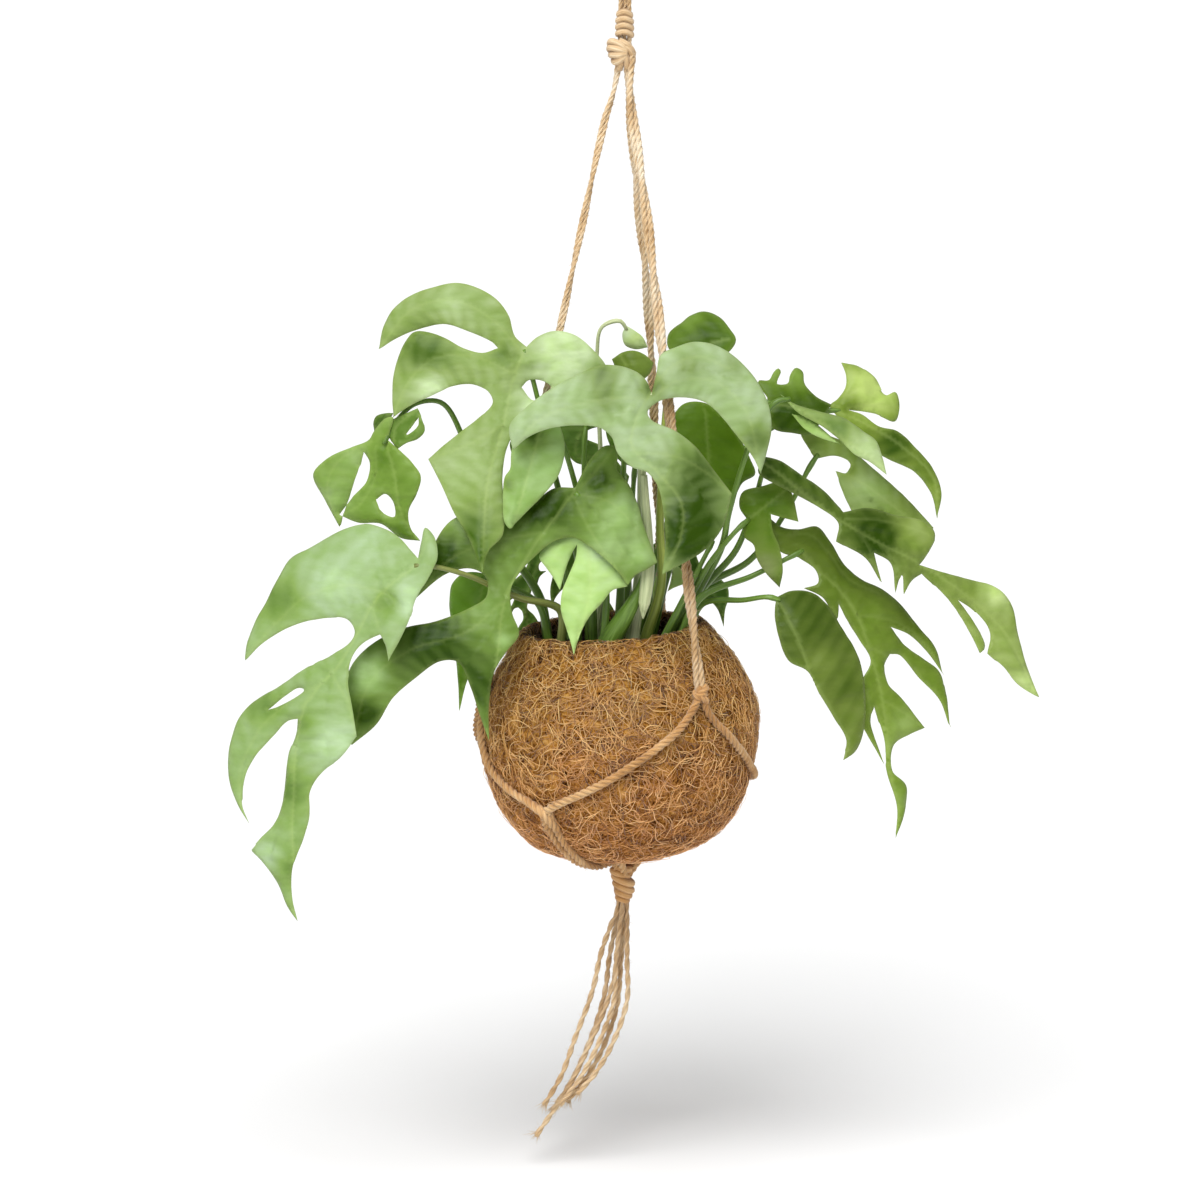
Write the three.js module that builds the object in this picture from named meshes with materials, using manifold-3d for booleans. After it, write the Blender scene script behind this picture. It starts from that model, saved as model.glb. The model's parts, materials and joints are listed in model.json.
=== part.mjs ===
// A mini monstera in a ball pot of coir fibre, hung in a macrame hanger of jute rope.
// Millimetres, +Z up, the front of the plant toward -Y. The origin is the crown of the hanging loop.
import * as THREE from "three";
import { TessellateModifier } from "three/addons/modifiers/TessellateModifier.js";
import { mergeVertices } from "three/addons/utils/BufferGeometryUtils.js";
import Module from "manifold-3d";

const wasm = await Module();
wasm.setup();

// Driving dimensions.
const POT_RADIUS = 70;
const POT_MOUTH_RADIUS = 40;
const POT_RIM_HEIGHT = 45;
const POT_TILT = THREE.MathUtils.degToRad(-3.5);
const SOIL_HEIGHT = 36;
const BLADE_THICKNESS = 0.8;
const STALK_FOOT_RADIUS = 2.4;
const STALK_TIP_RADIUS = 1.2;
const FOOT_DEPTH = 11;
const LOOP_STRAND_RADIUS = 1.08;
const LOOP_HALF_WIDTH = 11;
const WRAP_TOP = -58.5;
const WRAP_TURNS = 5;
const WRAP_PITCH = 2.6;
const TOP_KNOT_HEIGHT = -79;
const LEG_STRAND_RADIUS = 1.3;
const LEG_TURNS = 3.5;
const NET_ROPE_RADIUS = 2;
const BASE_ROPE_RADIUS = 1.75;
const TASSEL_STRAND_RADIUS = 1.45;
const GAP = 0.3;
const BLADE_TRIANGLE = 70;
const POT_SEGMENTS = 24;

// The plant is drawn in its front view: a picture 1200 wide and 1200 high, u to the right and
// v downward, seen from a point in front and a little above. At the pot's axis one unit of
// the picture is MM_PER_UNIT.
const MM_PER_UNIT = 0.49;
const VIEW_DISTANCE = 2100;
const VIEW_ELEVATION = THREE.MathUtils.degToRad(9);
const VIEW_CENTRE = new THREE.Vector3(-11.8, 0, -345);
const POT_AXIS_X = -3.2;

const VIEW_AHEAD = new THREE.Vector3(0, Math.cos(VIEW_ELEVATION), -Math.sin(VIEW_ELEVATION));
const VIEW_UP = new THREE.Vector3(0, Math.sin(VIEW_ELEVATION), Math.cos(VIEW_ELEVATION));
const VIEW_POINT = VIEW_CENTRE.clone().addScaledVector(VIEW_AHEAD, -VIEW_DISTANCE);

// The point seen at (u, v) that lies at depth y: negative is in front of the pot's axis.
function place(u, v, y) {
  const ray = VIEW_AHEAD.clone()
    .addScaledVector(VIEW_UP, ((600 - v) * MM_PER_UNIT) / VIEW_DISTANCE)
    .add(new THREE.Vector3(((u - 600) * MM_PER_UNIT) / VIEW_DISTANCE, 0, 0));
  return VIEW_POINT.clone().addScaledVector(ray, (y - VIEW_POINT.y) / ray.y);
}

const POT_CENTRE = place(617.5, 717, 0).setX(POT_AXIS_X);

// Closed meshes as solids, and back.
function toSolid(geometry) {
  const bare = geometry.index ? geometry.toNonIndexed() : geometry.clone();
  for (const name of Object.keys(bare.attributes)) {
    if (name !== "position") bare.deleteAttribute(name);
  }
  const merged = mergeVertices(bare, 1e-3);
  const mesh = new wasm.Mesh({
    numProp: 3,
    vertProperties: new Float32Array(merged.attributes.position.array),
    triVerts: new Uint32Array(merged.index.array),
  });
  return new wasm.Manifold(mesh);
}

function toGeometry(solid) {
  const mesh = solid.getMesh();
  const geometry = new THREE.BufferGeometry();
  geometry.setAttribute("position", new THREE.BufferAttribute(mesh.vertProperties, 3));
  geometry.setIndex(new THREE.BufferAttribute(mesh.triVerts, 1));
  geometry.computeVertexNormals();
  return geometry;
}

function material(color, roughness) {
  return new THREE.MeshStandardMaterial({ color, roughness, metalness: 0 });
}

const COIR = material(0xa9783f, 0.95);
const SOIL = material(0x2a211b, 1);
const JUTE = material(0xcfb083, 0.9);

function named(name, geometry, look) {
  const mesh = new THREE.Mesh(geometry, look);
  mesh.name = name;
  return mesh;
}

// A round section with the given number of sides.
function ring(radius, sides) {
  const points = [];
  for (let i = 0; i < sides; i += 1) {
    const angle = ((i + 0.5) * 2 * Math.PI) / sides;
    points.push(new THREE.Vector2(radius * Math.cos(angle), radius * Math.sin(angle)));
  }
  return new THREE.Shape(points);
}

// A rope along the points, as a plain tube.
function rope(points, radius, sides, steps) {
  const path = new THREE.CatmullRomCurve3(points, false, "centripetal");
  return new THREE.ExtrudeGeometry(ring(radius, sides), { steps, extrudePath: path });
}

// A stalk along a curve that tapers from one radius to another, closed at both ends.
function taperedStalk(curve, startRadius, endRadius, sides, steps) {
  const frames = curve.computeFrenetFrames(steps, false);
  const rings = [];
  for (let i = 0; i <= steps; i += 1) {
    const centre = curve.getPointAt(i / steps);
    const radius = THREE.MathUtils.lerp(startRadius, endRadius, i / steps);
    const section = [];
    for (let j = 0; j < sides; j += 1) {
      const angle = (j * 2 * Math.PI) / sides;
      const point = centre.clone().addScaledVector(frames.normals[i], radius * Math.cos(angle));
      section.push(point.addScaledVector(frames.binormals[i], radius * Math.sin(angle)));
    }
    rings.push(section);
  }
  return loft(rings);
}

// The pot. Its own frame has the origin at the widest level, and leans with the tilt.
const potGroup = new THREE.Group();
potGroup.position.copy(POT_CENTRE);
potGroup.rotation.y = POT_TILT;
potGroup.updateMatrixWorld(true);

// Outer outline from the middle of the bottom to the rim: radius and height.
const POT_OUTLINE = new THREE.SplineCurve([
  [0, -69], [26, -68], [46, -60], [60, -43.5], [68, -21], [POT_RADIUS, -2], [66.7, 12], [60, 26], [52.2, 37.5],
  [47.2, POT_RIM_HEIGHT - 1],
].map(([radius, height]) => new THREE.Vector2(radius, height)));

// The hand-pressed ball isn't quite round: this is how much it stands out at an angle and height.
function potWobble(angle, height) {
  return 0.9 * Math.sin(3 * angle + 0.6) * Math.cos(height / 40) + 0.5 * Math.sin(5 * angle + height / 18);
}

function potRadiusAt(height) {
  let low = 0;
  let high = 1;
  for (let i = 0; i < 30; i += 1) {
    const middle = (low + high) / 2;
    if (POT_OUTLINE.getPoint(middle).y < height) low = middle;
    else high = middle;
  }
  return POT_OUTLINE.getPoint(low).x;
}

// Direction round the pot: 0 degrees is the front, 90 the right.
function around(degrees) {
  const angle = THREE.MathUtils.degToRad(degrees);
  return new THREE.Vector3(Math.sin(angle), -Math.cos(angle), 0);
}

// A point above the pot's outside, in the pot's own frame.
function onPot(degrees, height, lift) {
  const out = around(degrees);
  const angle = Math.atan2(out.y, out.x);
  const slope = (potRadiusAt(height + 1) - potRadiusAt(height - 1)) / 2;
  const normal = out.clone().addScaledVector(new THREE.Vector3(0, 0, 1), -slope).normalize();
  const radius = potRadiusAt(height) + potWobble(angle, height);
  return out.multiplyScalar(radius).setZ(height).addScaledVector(normal, lift);
}

// A turned body of the pot's own wobbly roundness.
function wobblyLathe(profile) {
  const geometry = new THREE.LatheGeometry(profile, POT_SEGMENTS);
  geometry.rotateX(Math.PI / 2);
  const position = geometry.attributes.position;
  for (let i = 0; i < position.count; i += 1) {
    const x = position.getX(i);
    const y = position.getY(i);
    const radius = Math.hypot(x, y);
    if (radius < 1) continue;
    const wobble = potWobble(Math.atan2(y, x), position.getZ(i)) * Math.min(1, radius / 40);
    position.setXY(i, x * (1 + wobble / radius), y * (1 + wobble / radius));
  }
  return geometry;
}

function buildPot() {
  const outside = POT_OUTLINE.getPoints(13);
  const rim = [[45, POT_RIM_HEIGHT + 0.5], [42.5, POT_RIM_HEIGHT]];
  const inside = [[POT_MOUTH_RADIUS, 41], [47, 33], [55.5, 20], [60.5, 0], [57, -24], [45, -44], [24, -55], [0, -57]];
  const profile = outside.concat([...rim, ...inside].map(([radius, height]) => new THREE.Vector2(radius, height)));
  return named("coir_pot", toGeometry(outward(toSolid(wobblyLathe(profile)))), COIR);
}

// A solid whose faces look outward, whichever way its profile ran.
function outward(solid) {
  if (solid.volume() > 0) return solid;
  const mesh = solid.getMesh();
  const turned = new Uint32Array(mesh.triVerts);
  for (let i = 0; i < turned.length; i += 3) {
    [turned[i + 1], turned[i + 2]] = [turned[i + 2], turned[i + 1]];
  }
  return new wasm.Manifold(new wasm.Mesh({ numProp: 3, vertProperties: mesh.vertProperties, triVerts: turned }));
}

// Leaf outlines in the front picture, one list of [u, v] points for each, tips and notches included.
const OUTLINES = {
  frontLeft: [
    [416, 556], [408, 547], [398, 536], [383, 527], [363, 522], [343, 526], [325, 535], [305, 547], [288, 557],
    [276, 576], [264, 598], [252, 619], [245, 640], [242, 659], [256, 644], [277, 631], [300, 621], [326, 616],
    [345, 618], [353, 630], [348, 641], [328, 654], [302, 668], [276, 685], [254, 698], [239, 713], [229, 736],
    [224, 762], [227, 785], [236, 806], [246, 823], [239, 803], [241, 780], [252, 757], [269, 736], [285, 720],
    [293, 718], [293, 733], [286, 755], [282, 780], [279, 803], [271, 824], [258, 838], [248, 850], [260, 862],
    [273, 881], [284, 906], [295, 922], [289, 897], [290, 868], [300, 840], [307, 815], [307, 790], [320, 771],
    [338, 757], [354, 736], [350, 705], [346, 680], [350, 657], [362, 641], [377, 634], [384, 645], [386, 660],
    [396, 643], [407, 620], [415, 596], [427, 575], [436, 557], [433, 535], [424, 526], [420, 540],
  ],
  topLeft: [
    [526, 346], [514, 335], [508, 315], [496, 299], [476, 287], [455, 282], [433, 286], [409, 295], [391, 309],
    [381, 327], [377, 348], [396, 337], [418, 328], [442, 323], [466, 330], [491, 341], [497, 347], [482, 352],
    [462, 347], [444, 337], [413, 331], [401, 346], [393, 370], [391, 396], [392, 416], [408, 405], [430, 394],
    [452, 385], [472, 383], [488, 391], [492, 402], [478, 416], [458, 432], [427, 457], [440, 482], [453, 510],
    [468, 536], [482, 571], [488, 549], [502, 533], [504, 505], [502, 475], [507, 445], [520, 425], [545, 405],
    [575, 397], [603, 382], [607, 368], [592, 348], [574, 334], [554, 330], [537, 336],
  ],
  centre: [
    [652, 393], [648, 381], [638, 371], [618, 364], [598, 364], [576, 374], [552, 387], [528, 404], [509, 424],
    [512, 449], [528, 436], [552, 427], [580, 424], [601, 427], [612, 436], [618, 452], [632, 466], [648, 472],
    [659, 487], [664, 510], [666, 540], [663, 574], [684, 563], [706, 549], [724, 526], [733, 493], [715, 469],
    [697, 446], [676, 430], [652, 419], [648, 411], [658, 401], [682, 396], [704, 400], [722, 415], [741, 438],
    [755, 458], [762, 473], [768, 453], [773, 427], [769, 402], [757, 378], [738, 357], [718, 344], [696, 340],
    [676, 346], [661, 354], [657, 372],
  ],
  underCentre: [
    [545, 408], [560, 424], [566, 446], [560, 473], [546, 492], [530, 508], [515, 523], [511, 528], [505, 522],
    [503, 498], [505, 475], [513, 468], [512, 448], [524, 428],
  ],
  middle: [
    [575, 487], [583, 471], [593, 455], [605, 445], [617, 448], [617, 467], [628, 482], [637, 500], [646, 530],
    [658, 562], [642, 574], [626, 586], [607, 599], [590, 616], [580, 633], [574, 655], [566, 627], [560, 603],
    [564, 576], [577, 548], [572, 551], [561, 588], [550, 567], [538, 554], [523, 568], [511, 588], [512, 612],
    [520, 634], [506, 652], [494, 672], [489, 705], [489, 741], [479, 713], [470, 686], [458, 662], [440, 661],
    [416, 677], [393, 697], [376, 724], [351, 745], [344, 715], [343, 688], [353, 662], [375, 641], [405, 627],
    [435, 621], [468, 608], [486, 596], [486, 578], [470, 568], [445, 574], [417, 597], [427, 568], [436, 539],
    [452, 519], [478, 512], [505, 522], [530, 505], [553, 488],
  ],
  left: [
    [384, 440], [371, 431], [371, 419], [383, 414], [396, 420], [404, 419], [401, 436], [411, 436], [419, 420],
    [422, 430], [412, 441], [397, 446], [412, 462], [419, 476], [415, 495], [407, 514], [418, 541], [398, 537],
    [378, 523], [356, 523], [336, 515], [350, 497], [364, 482], [366, 462], [361, 452], [357, 467], [349, 490],
    [341, 512], [337, 527], [322, 501], [310, 475], [326, 458], [350, 447], [366, 441], [376, 432],
  ],
  roundLeft: [
    [482, 573], [463, 572], [450, 582], [446, 600], [449, 625], [453, 650], [456, 685], [457, 710], [465, 682],
    [478, 655], [491, 627], [497, 600], [494, 582],
  ],
  top: [
    [678, 352], [667, 345], [668, 331], [681, 320], [691, 311], [705, 308], [720, 315], [730, 327], [736, 338],
    [729, 350], [712, 358], [694, 360],
  ],
  young: [[627, 326], [622, 334], [624, 347], [634, 351], [648, 348], [643, 337], [634, 330]],
  behindTop: [
    [634, 382], [617, 371], [611, 359], [622, 352], [634, 350], [645, 354], [651, 362], [649, 374],
  ],
  behindCentre: [
    [712, 546], [697, 520], [683, 490], [674, 455], [672, 422], [684, 404], [704, 402], [722, 414], [741, 436],
    [752, 458], [757, 474], [744, 483], [736, 500], [726, 520],
  ],
  rightUpper: [
    [838, 414], [830, 404], [842, 395], [848, 378], [843, 361], [860, 364], [876, 375], [886, 391], [898, 390],
    [902, 406], [897, 421], [876, 412], [852, 407], [864, 413], [880, 425], [900, 430], [918, 446], [934, 466],
    [943, 492], [939, 518], [934, 494], [916, 471], [893, 459], [870, 446], [852, 430],
  ],
  rightDark: [
    [768, 396], [759, 378], [771, 377], [780, 367], [782, 380], [793, 380], [799, 365], [806, 381], [820, 397],
    [832, 403], [822, 420], [813, 433], [793, 432], [774, 427],
  ],
  rightPale: [
    [782, 392], [798, 402], [822, 410], [846, 416], [865, 428], [878, 438], [884, 456], [888, 473], [872, 461],
    [856, 453], [841, 437], [824, 424], [800, 412],
  ],
  rightBack: [
    [818, 458], [810, 447], [803, 432], [824, 433], [846, 441], [868, 460], [892, 482], [916, 504], [936, 527],
    [918, 540], [888, 536], [862, 526], [852, 507], [844, 488], [838, 470], [849, 472], [852, 461], [838, 455],
  ],
  rightLong: [
    [764, 455], [781, 459], [803, 474], [826, 489], [846, 511], [870, 507], [897, 514], [928, 520], [938, 533],
    [932, 549], [924, 562], [940, 570], [972, 578], [998, 586], [1013, 602], [1021, 633], [1030, 668],
    [1041, 697], [1020, 684], [1006, 667], [990, 653], [993, 632], [978, 611], [958, 598], [976, 620],
    [988, 648], [981, 652], [966, 620], [946, 594], [922, 572], [914, 580], [905, 594], [904, 574],
    [899, 592], [893, 563], [876, 553], [884, 582], [868, 558], [850, 547], [838, 541], [839, 518],
    [822, 507], [797, 493], [776, 483], [760, 472],
  ],
  rightLower: [
    [801, 556], [783, 550], [774, 533], [767, 513], [784, 526], [800, 528], [820, 525], [835, 543], [846, 563],
    [862, 577], [886, 588], [905, 604], [922, 627], [938, 647], [947, 674], [932, 652], [912, 634], [894, 624],
    [904, 641], [926, 657], [942, 670], [949, 694], [955, 714], [945, 727], [943, 700], [922, 677], [901, 652],
    [889, 660], [888, 681], [905, 698], [918, 711], [928, 727], [912, 734], [896, 745], [895, 771], [909, 785],
    [908, 810], [898, 838], [900, 806], [889, 768], [887, 742], [877, 706], [873, 722], [887, 764], [869, 734],
    [858, 710], [862, 684], [873, 660], [863, 641], [850, 619], [841, 603], [840, 618], [824, 596], [806, 587],
    [822, 582], [818, 568],
  ],
  rightHanging: [
    [778, 596], [794, 589], [815, 591], [830, 604], [843, 624], [860, 651], [867, 685], [867, 730], [858, 751],
    [845, 760], [849, 739], [836, 717], [821, 692], [810, 671], [791, 660], [781, 637], [776, 613],
  ],
  midRight: [
    [747, 519], [739, 506], [742, 491], [762, 485], [784, 481], [792, 493], [799, 522], [784, 518], [771, 514],
    [773, 530], [780, 547], [784, 571], [781, 589], [766, 573], [757, 558], [754, 545], [744, 536],
  ],
};

const HOLES = {
  frontLeft: [[265, 709], [276, 705], [302, 689], [296, 687], [279, 697]],
  topLeft: [[521, 386], [528, 379], [543, 380], [551, 387], [533, 399]],
  left: [[373, 500], [383, 494], [391, 502], [392, 517], [380, 513]],
};

// Each leaf: its outline, the junction with its stalk, the end of its midrib, and how its blade
// lies in depth. y is the depth at the junction; along and across are slopes of the depth
// along the midrib and across it; curl and arch bend it, in millimetres per 100 mm squared.
// The stalk stands at foot, in millimetres from the pot's axis, and passes the points
// [u, v, depth].
const LEAVES = [
  { name: "leaf_front_left", outline: "frontLeft", junction: [414, 566], midrib: [295, 921],
    depth: { y: -56, along: -0.4, across: -0.45, curl: 0.13, arch: 0.25 }, shade: 0x86ad66,
    foot: [-26, -17], stalk: [[560, 610, -22], [520, 598, -32], [494, 587, -39.5], [472, 577, -49], [450, 570, -53], [430, 566, -54]] },
  { name: "leaf_top_left", outline: "topLeft", junction: [524, 350], midrib: [482, 571],
    depth: { y: -15, along: -0.25, across: -0.15, curl: -0.16, arch: 0.14 }, shade: 0x7d9f55,
    foot: [-19, -8], stalk: [[580, 570, -12], [556, 480, -11], [538, 400, -13], [528, 362, -14]] },
  { name: "leaf_centre", outline: "centre", junction: [652, 396], midrib: [664, 560],
    depth: { y: -42, along: -0.34, across: 0.12, curl: 0.06, arch: 0.12 }, shade: 0x8fb36f,
    foot: [7, -17], stalk: [[641, 560, -20], [642, 460, -24], [645, 404, -30], [650, 388, -37]] },
  { name: "leaf_under_centre", outline: "underCentre", junction: [545, 414], midrib: [515, 522],
    depth: { y: -30, along: -0.36, across: 0, curl: 0, arch: 0.3 }, shade: 0x86b069,
    foot: [-10, -14], stalk: [[590, 560, -18], [574, 480, -20], [556, 428, -23]] },
  { name: "leaf_middle", outline: "middle", junction: [575, 493], midrib: [480, 650],
    depth: { y: -36, along: -0.22, across: -0.12, curl: 0.02, arch: 0.06 }, shade: 0x567d35,
    foot: [-6, -25], stalk: [[606, 590, -28], [598, 530, -29], [584, 502, -33]] },
  { name: "leaf_left", outline: "left", junction: [384, 444], midrib: [405, 530],
    depth: { y: -14, along: -0.2, across: -0.35, curl: 0, arch: 0.3 }, shade: 0x6b9440,
    foot: [-30, -1], stalk: [[540, 598, 4], [500, 535, 7], [468, 450, 6], [442, 403, 4], [415, 404, 1], [392, 428, -9]] },
  { name: "leaf_round_left", outline: "roundLeft", junction: [483, 578], midrib: [457, 710],
    depth: { y: -18, along: -0.25, across: -0.4, curl: 0, arch: 0.8 }, shade: 0x6f8f45,
    foot: [-28, -9], stalk: [[538, 604, -13], [508, 586, -17]] },
  { name: "leaf_top", outline: "top", junction: [682, 350], midrib: [728, 338],
    depth: { y: 4, along: 0.1, across: 0.6, curl: 0, arch: 0.8 }, shade: 0x6f9446,
    foot: [11, -7], stalk: [[661, 585, -8], [660, 520, -6], [664, 430, -2], [672, 368, 2]] },
  { name: "leaf_young", outline: "young", junction: [627, 330], midrib: [646, 346],
    depth: { y: -10, along: 0, across: 0, curl: 0, arch: 2.4 }, shade: 0xb4c98c,
    foot: [-11, 3], stalk: [[606, 560, 2], [600, 440, -1], [597, 356, -4], [602, 327, -8], [620, 321, -10]] },
  { name: "leaf_behind_top", outline: "behindTop", junction: [632, 376], midrib: [618, 352],
    depth: { y: -14, along: 0.2, across: 0, curl: 0, arch: 0.6 }, shade: 0x5f8139,
    foot: [1, -6], stalk: [[622, 560, -6], [624, 460, -8], [630, 392, -12]] },
  { name: "leaf_behind_centre", outline: "behindCentre", junction: [713, 541], midrib: [706, 410],
    depth: { y: -6, along: 0.15, across: -0.25, curl: 0, arch: 0.4 }, shade: 0x466e22,
    foot: [16, -16], stalk: [[682, 602, -17], [700, 566, -12]] },
  { name: "leaf_right_upper", outline: "rightUpper", junction: [840, 410], midrib: [938, 480],
    depth: { y: 8, along: 0.05, across: 0.55, curl: 0, arch: 0.5 }, shade: 0x9dbb5e,
    foot: [15, 7], stalk: [[672, 560, 8], [716, 480, 9], [772, 428, 11], [820, 412, 9]] },
  { name: "leaf_right_dark", outline: "rightDark", junction: [772, 402], midrib: [815, 410],
    depth: { y: -2, along: 0.1, across: 0.5, curl: 0, arch: 0.8 }, shade: 0x55792e,
    foot: [9, 13], stalk: [[656, 560, 16], [694, 460, 16], [738, 410, 8], [762, 402, 1]] },
  { name: "leaf_right_pale", outline: "rightPale", junction: [790, 399], midrib: [884, 465],
    depth: { y: -20, along: -0.1, across: 0.6, curl: 0, arch: 0.8 }, shade: 0x9cbf83,
    foot: [22, -5], stalk: [[698, 592, -3], [722, 546, -9], [729, 512, -15], [752, 440, -18], [776, 402, -19]] },
  { name: "leaf_right_back", outline: "rightBack", junction: [818, 454], midrib: [905, 520],
    depth: { y: 12, along: 0.15, across: 0.5, curl: 0, arch: 0.4 }, shade: 0x7d9f55,
    foot: [22, 9], stalk: [[698, 590, 10], [750, 560, 10], [790, 505, 13], [808, 470, 13]] },
  { name: "leaf_right_long", outline: "rightLong", junction: [768, 464], midrib: [1030, 680],
    depth: { y: -20, along: 0.1, across: 0.5, curl: 0.02, arch: 0.3 }, shade: 0x5d8238,
    foot: [26, 1], stalk: [[700, 592, 2], [736, 550, 3], [756, 496, 1], [762, 475, -6]] },
  { name: "leaf_right_lower", outline: "rightLower", junction: [803, 550], midrib: [890, 740],
    depth: { y: -4, along: -0.22, across: 0.6, curl: 0.08, arch: 0.25 }, shade: 0x5f873a,
    foot: [25, -12], stalk: [[700, 598, -15.5], [752, 576, -5], [792, 556, -4]] },
  { name: "leaf_right_hanging", outline: "rightHanging", junction: [780, 600], midrib: [848, 752],
    depth: { y: -26, along: -0.25, across: 0.5, curl: 0.1, arch: 0.5 }, shade: 0x4e6f2b,
    foot: [29, -6], stalk: [[702, 604, -8], [744, 600, -18], [768, 597, -24]] },
  { name: "leaf_mid_right", outline: "midRight", junction: [749, 519], midrib: [788, 488],
    depth: { y: -12, along: 0.1, across: 0.2, curl: 0, arch: 0.5 }, shade: 0x4c7a26,
    foot: [18, -9], stalk: [[694, 590, -10], [712, 560, -14], [736, 531, -13]] },
];

// Leaves at the back, drawn in the view from behind: copies of other outlines, set at a point
// with a scale and a spin, and turned round the pot's axis.
const BACK_LEAVES = [
  { name: "leaf_back_long", outline: "frontLeft", junction: [416, 560], midrib: [295, 921], flip: true,
    at: [612, 560], scale: 0.56, spin: 18, depth: { y: -47, along: -0.44, across: 0, curl: 0.12, arch: 0.2 },
    shade: 0x6f9446, foot: [-8, -24], stalk: [[606, 590, -30], [602, 566, -38]] },
  { name: "leaf_back_split", outline: "middle", junction: [575, 493], midrib: [480, 650], flip: false,
    at: [546, 588], scale: 0.5, spin: -31, depth: { y: -66, along: -0.3, across: 0, curl: 0.05, arch: 0.1 },
    shade: 0x567d35, foot: [-17, -20], stalk: [[582, 594, -34], [556, 578, -50]] },
  { name: "leaf_back_right", outline: "rightLower", junction: [803, 550], midrib: [890, 740], flip: false,
    at: [696, 590], scale: 0.46, spin: 16, depth: { y: -58, along: -0.14, across: 0, curl: 0.05, arch: 0.2 },
    shade: 0x5f873a, foot: [22, -20], stalk: [[672, 592, -33], [686, 580, -48]] },
  { name: "leaf_back_round", outline: "top", junction: [682, 350], midrib: [728, 338], flip: false,
    at: [600, 470], scale: 1, spin: -50, depth: { y: -14, along: 0.1, across: 0, curl: 0, arch: 0.5 },
    shade: 0x6f9446, foot: [-2, -14], stalk: [[606, 580, -16], [602, 500, -15]] },
  { name: "leaf_back_upper", outline: "centre", junction: [652, 396], midrib: [664, 560], flip: true,
    at: [650, 440], scale: 0.55, spin: 0, depth: { y: -30, along: -0.2, across: 0, curl: 0.05, arch: 0.1 },
    shade: 0x7d9f55, foot: [12, -16], stalk: [[648, 580, -18], [652, 480, -22], [651, 446, -26]] },
];

// A leaf's outline and midrib, in the picture, after its flip, spin and scale.
function inPicture(leaf, [u, v]) {
  if (!leaf.at) return [u, v];
  const spin = THREE.MathUtils.degToRad(leaf.spin);
  const du = (u - leaf.junction[0]) * leaf.scale * (leaf.flip ? -1 : 1);
  const dv = (v - leaf.junction[1]) * leaf.scale;
  return [
    leaf.at[0] + du * Math.cos(spin) - dv * Math.sin(spin),
    leaf.at[1] + du * Math.sin(spin) + dv * Math.cos(spin),
  ];
}

// The depth of the blade at (u, v).
function bladeDepth(leaf, u, v) {
  const { y, along, across, curl, arch } = leaf.depth;
  const [ju, jv] = inPicture(leaf, leaf.junction);
  const [mu, mv] = inPicture(leaf, leaf.midrib);
  const midrib = new THREE.Vector2(mu - ju, mv - jv).normalize();
  const s = ((u - ju) * midrib.x + (v - jv) * midrib.y) * MM_PER_UNIT;
  const q = ((u - ju) * midrib.y - (v - jv) * midrib.x) * MM_PER_UNIT;
  return y + along * s + across * q + (curl * s * s + arch * q * q) / 100;
}

// Back leaves are turned half round the pot's axis.
function turned(leaf, point) {
  if (!leaf.at) return point;
  return new THREE.Vector3(2 * POT_AXIS_X - point.x, -point.y, point.z);
}

function bladePoint(leaf, u, v) {
  return turned(leaf, place(u, v, bladeDepth(leaf, u, v)));
}

function toPath(points, Kind) {
  return new Kind(points.map(([u, v]) => new THREE.Vector2(u, v)));
}

// The flat blade as triangles in the picture, fine enough to bend.
function bladeChart(leaf) {
  const shape = toPath(OUTLINES[leaf.outline].map((point) => inPicture(leaf, point)), THREE.Shape);
  const hole = HOLES[leaf.outline];
  if (hole) shape.holes.push(toPath(hole.map((point) => inPicture(leaf, point)), THREE.Path));
  const flat = new THREE.ShapeGeometry(shape).toNonIndexed();
  flat.deleteAttribute("normal");
  flat.deleteAttribute("uv");
  return mergeVertices(new TessellateModifier(BLADE_TRIANGLE, 8).modify(flat), 1e-3);
}

// The blade as a closed sheet: the same triangles on both faces and a strip round every edge.
function bladeSheet(leaf) {
  const chart = bladeChart(leaf);
  const { position } = chart.attributes;
  const count = position.count;
  const positions = new Float32Array(count * 6);
  for (let i = 0; i < count; i += 1) {
    const u = position.getX(i);
    const v = position.getY(i);
    const point = bladePoint(leaf, u, v);
    const right = bladePoint(leaf, u + 1, v).sub(bladePoint(leaf, u - 1, v));
    const down = bladePoint(leaf, u, v + 1).sub(bladePoint(leaf, u, v - 1));
    const normal = right.cross(down).normalize().multiplyScalar(BLADE_THICKNESS / 2);
    point.clone().add(normal).toArray(positions, i * 3);
    point.clone().sub(normal).toArray(positions, (count + i) * 3);
  }
  const triangles = [];
  const edges = new Map();
  const index = chart.index.array;
  for (let i = 0; i < index.length; i += 3) {
    const [a, b, c] = [index[i], index[i + 1], index[i + 2]];
    triangles.push(a, b, c, c + count, b + count, a + count);
    [[a, b], [b, c], [c, a]].forEach((edge) => edges.set(edge.join(), edge));
  }
  for (const [a, b] of edges.values()) {
    if (edges.has([b, a].join())) continue;
    triangles.push(b, a, a + count, b, a + count, b + count);
  }
  const sheet = new THREE.BufferGeometry();
  sheet.setAttribute("position", new THREE.BufferAttribute(positions, 3));
  sheet.setIndex(triangles);
  return outward(toSolid(sheet));
}

// Where a stalk stands: the bottom of its hole in the soil, and the way it leans.
function footing(leaf) {
  const [x, y] = leaf.foot;
  const foot = potGroup.localToWorld(new THREE.Vector3(x, y, SOIL_HEIGHT - FOOT_DEPTH));
  if (leaf.at) foot.set(...potGroup.localToWorld(new THREE.Vector3(-x, -y, SOIL_HEIGHT - FOOT_DEPTH)).toArray());
  const lean = turned(leaf, place(...leaf.stalk[0])).sub(foot).normalize();
  return { foot, lean };
}

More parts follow.
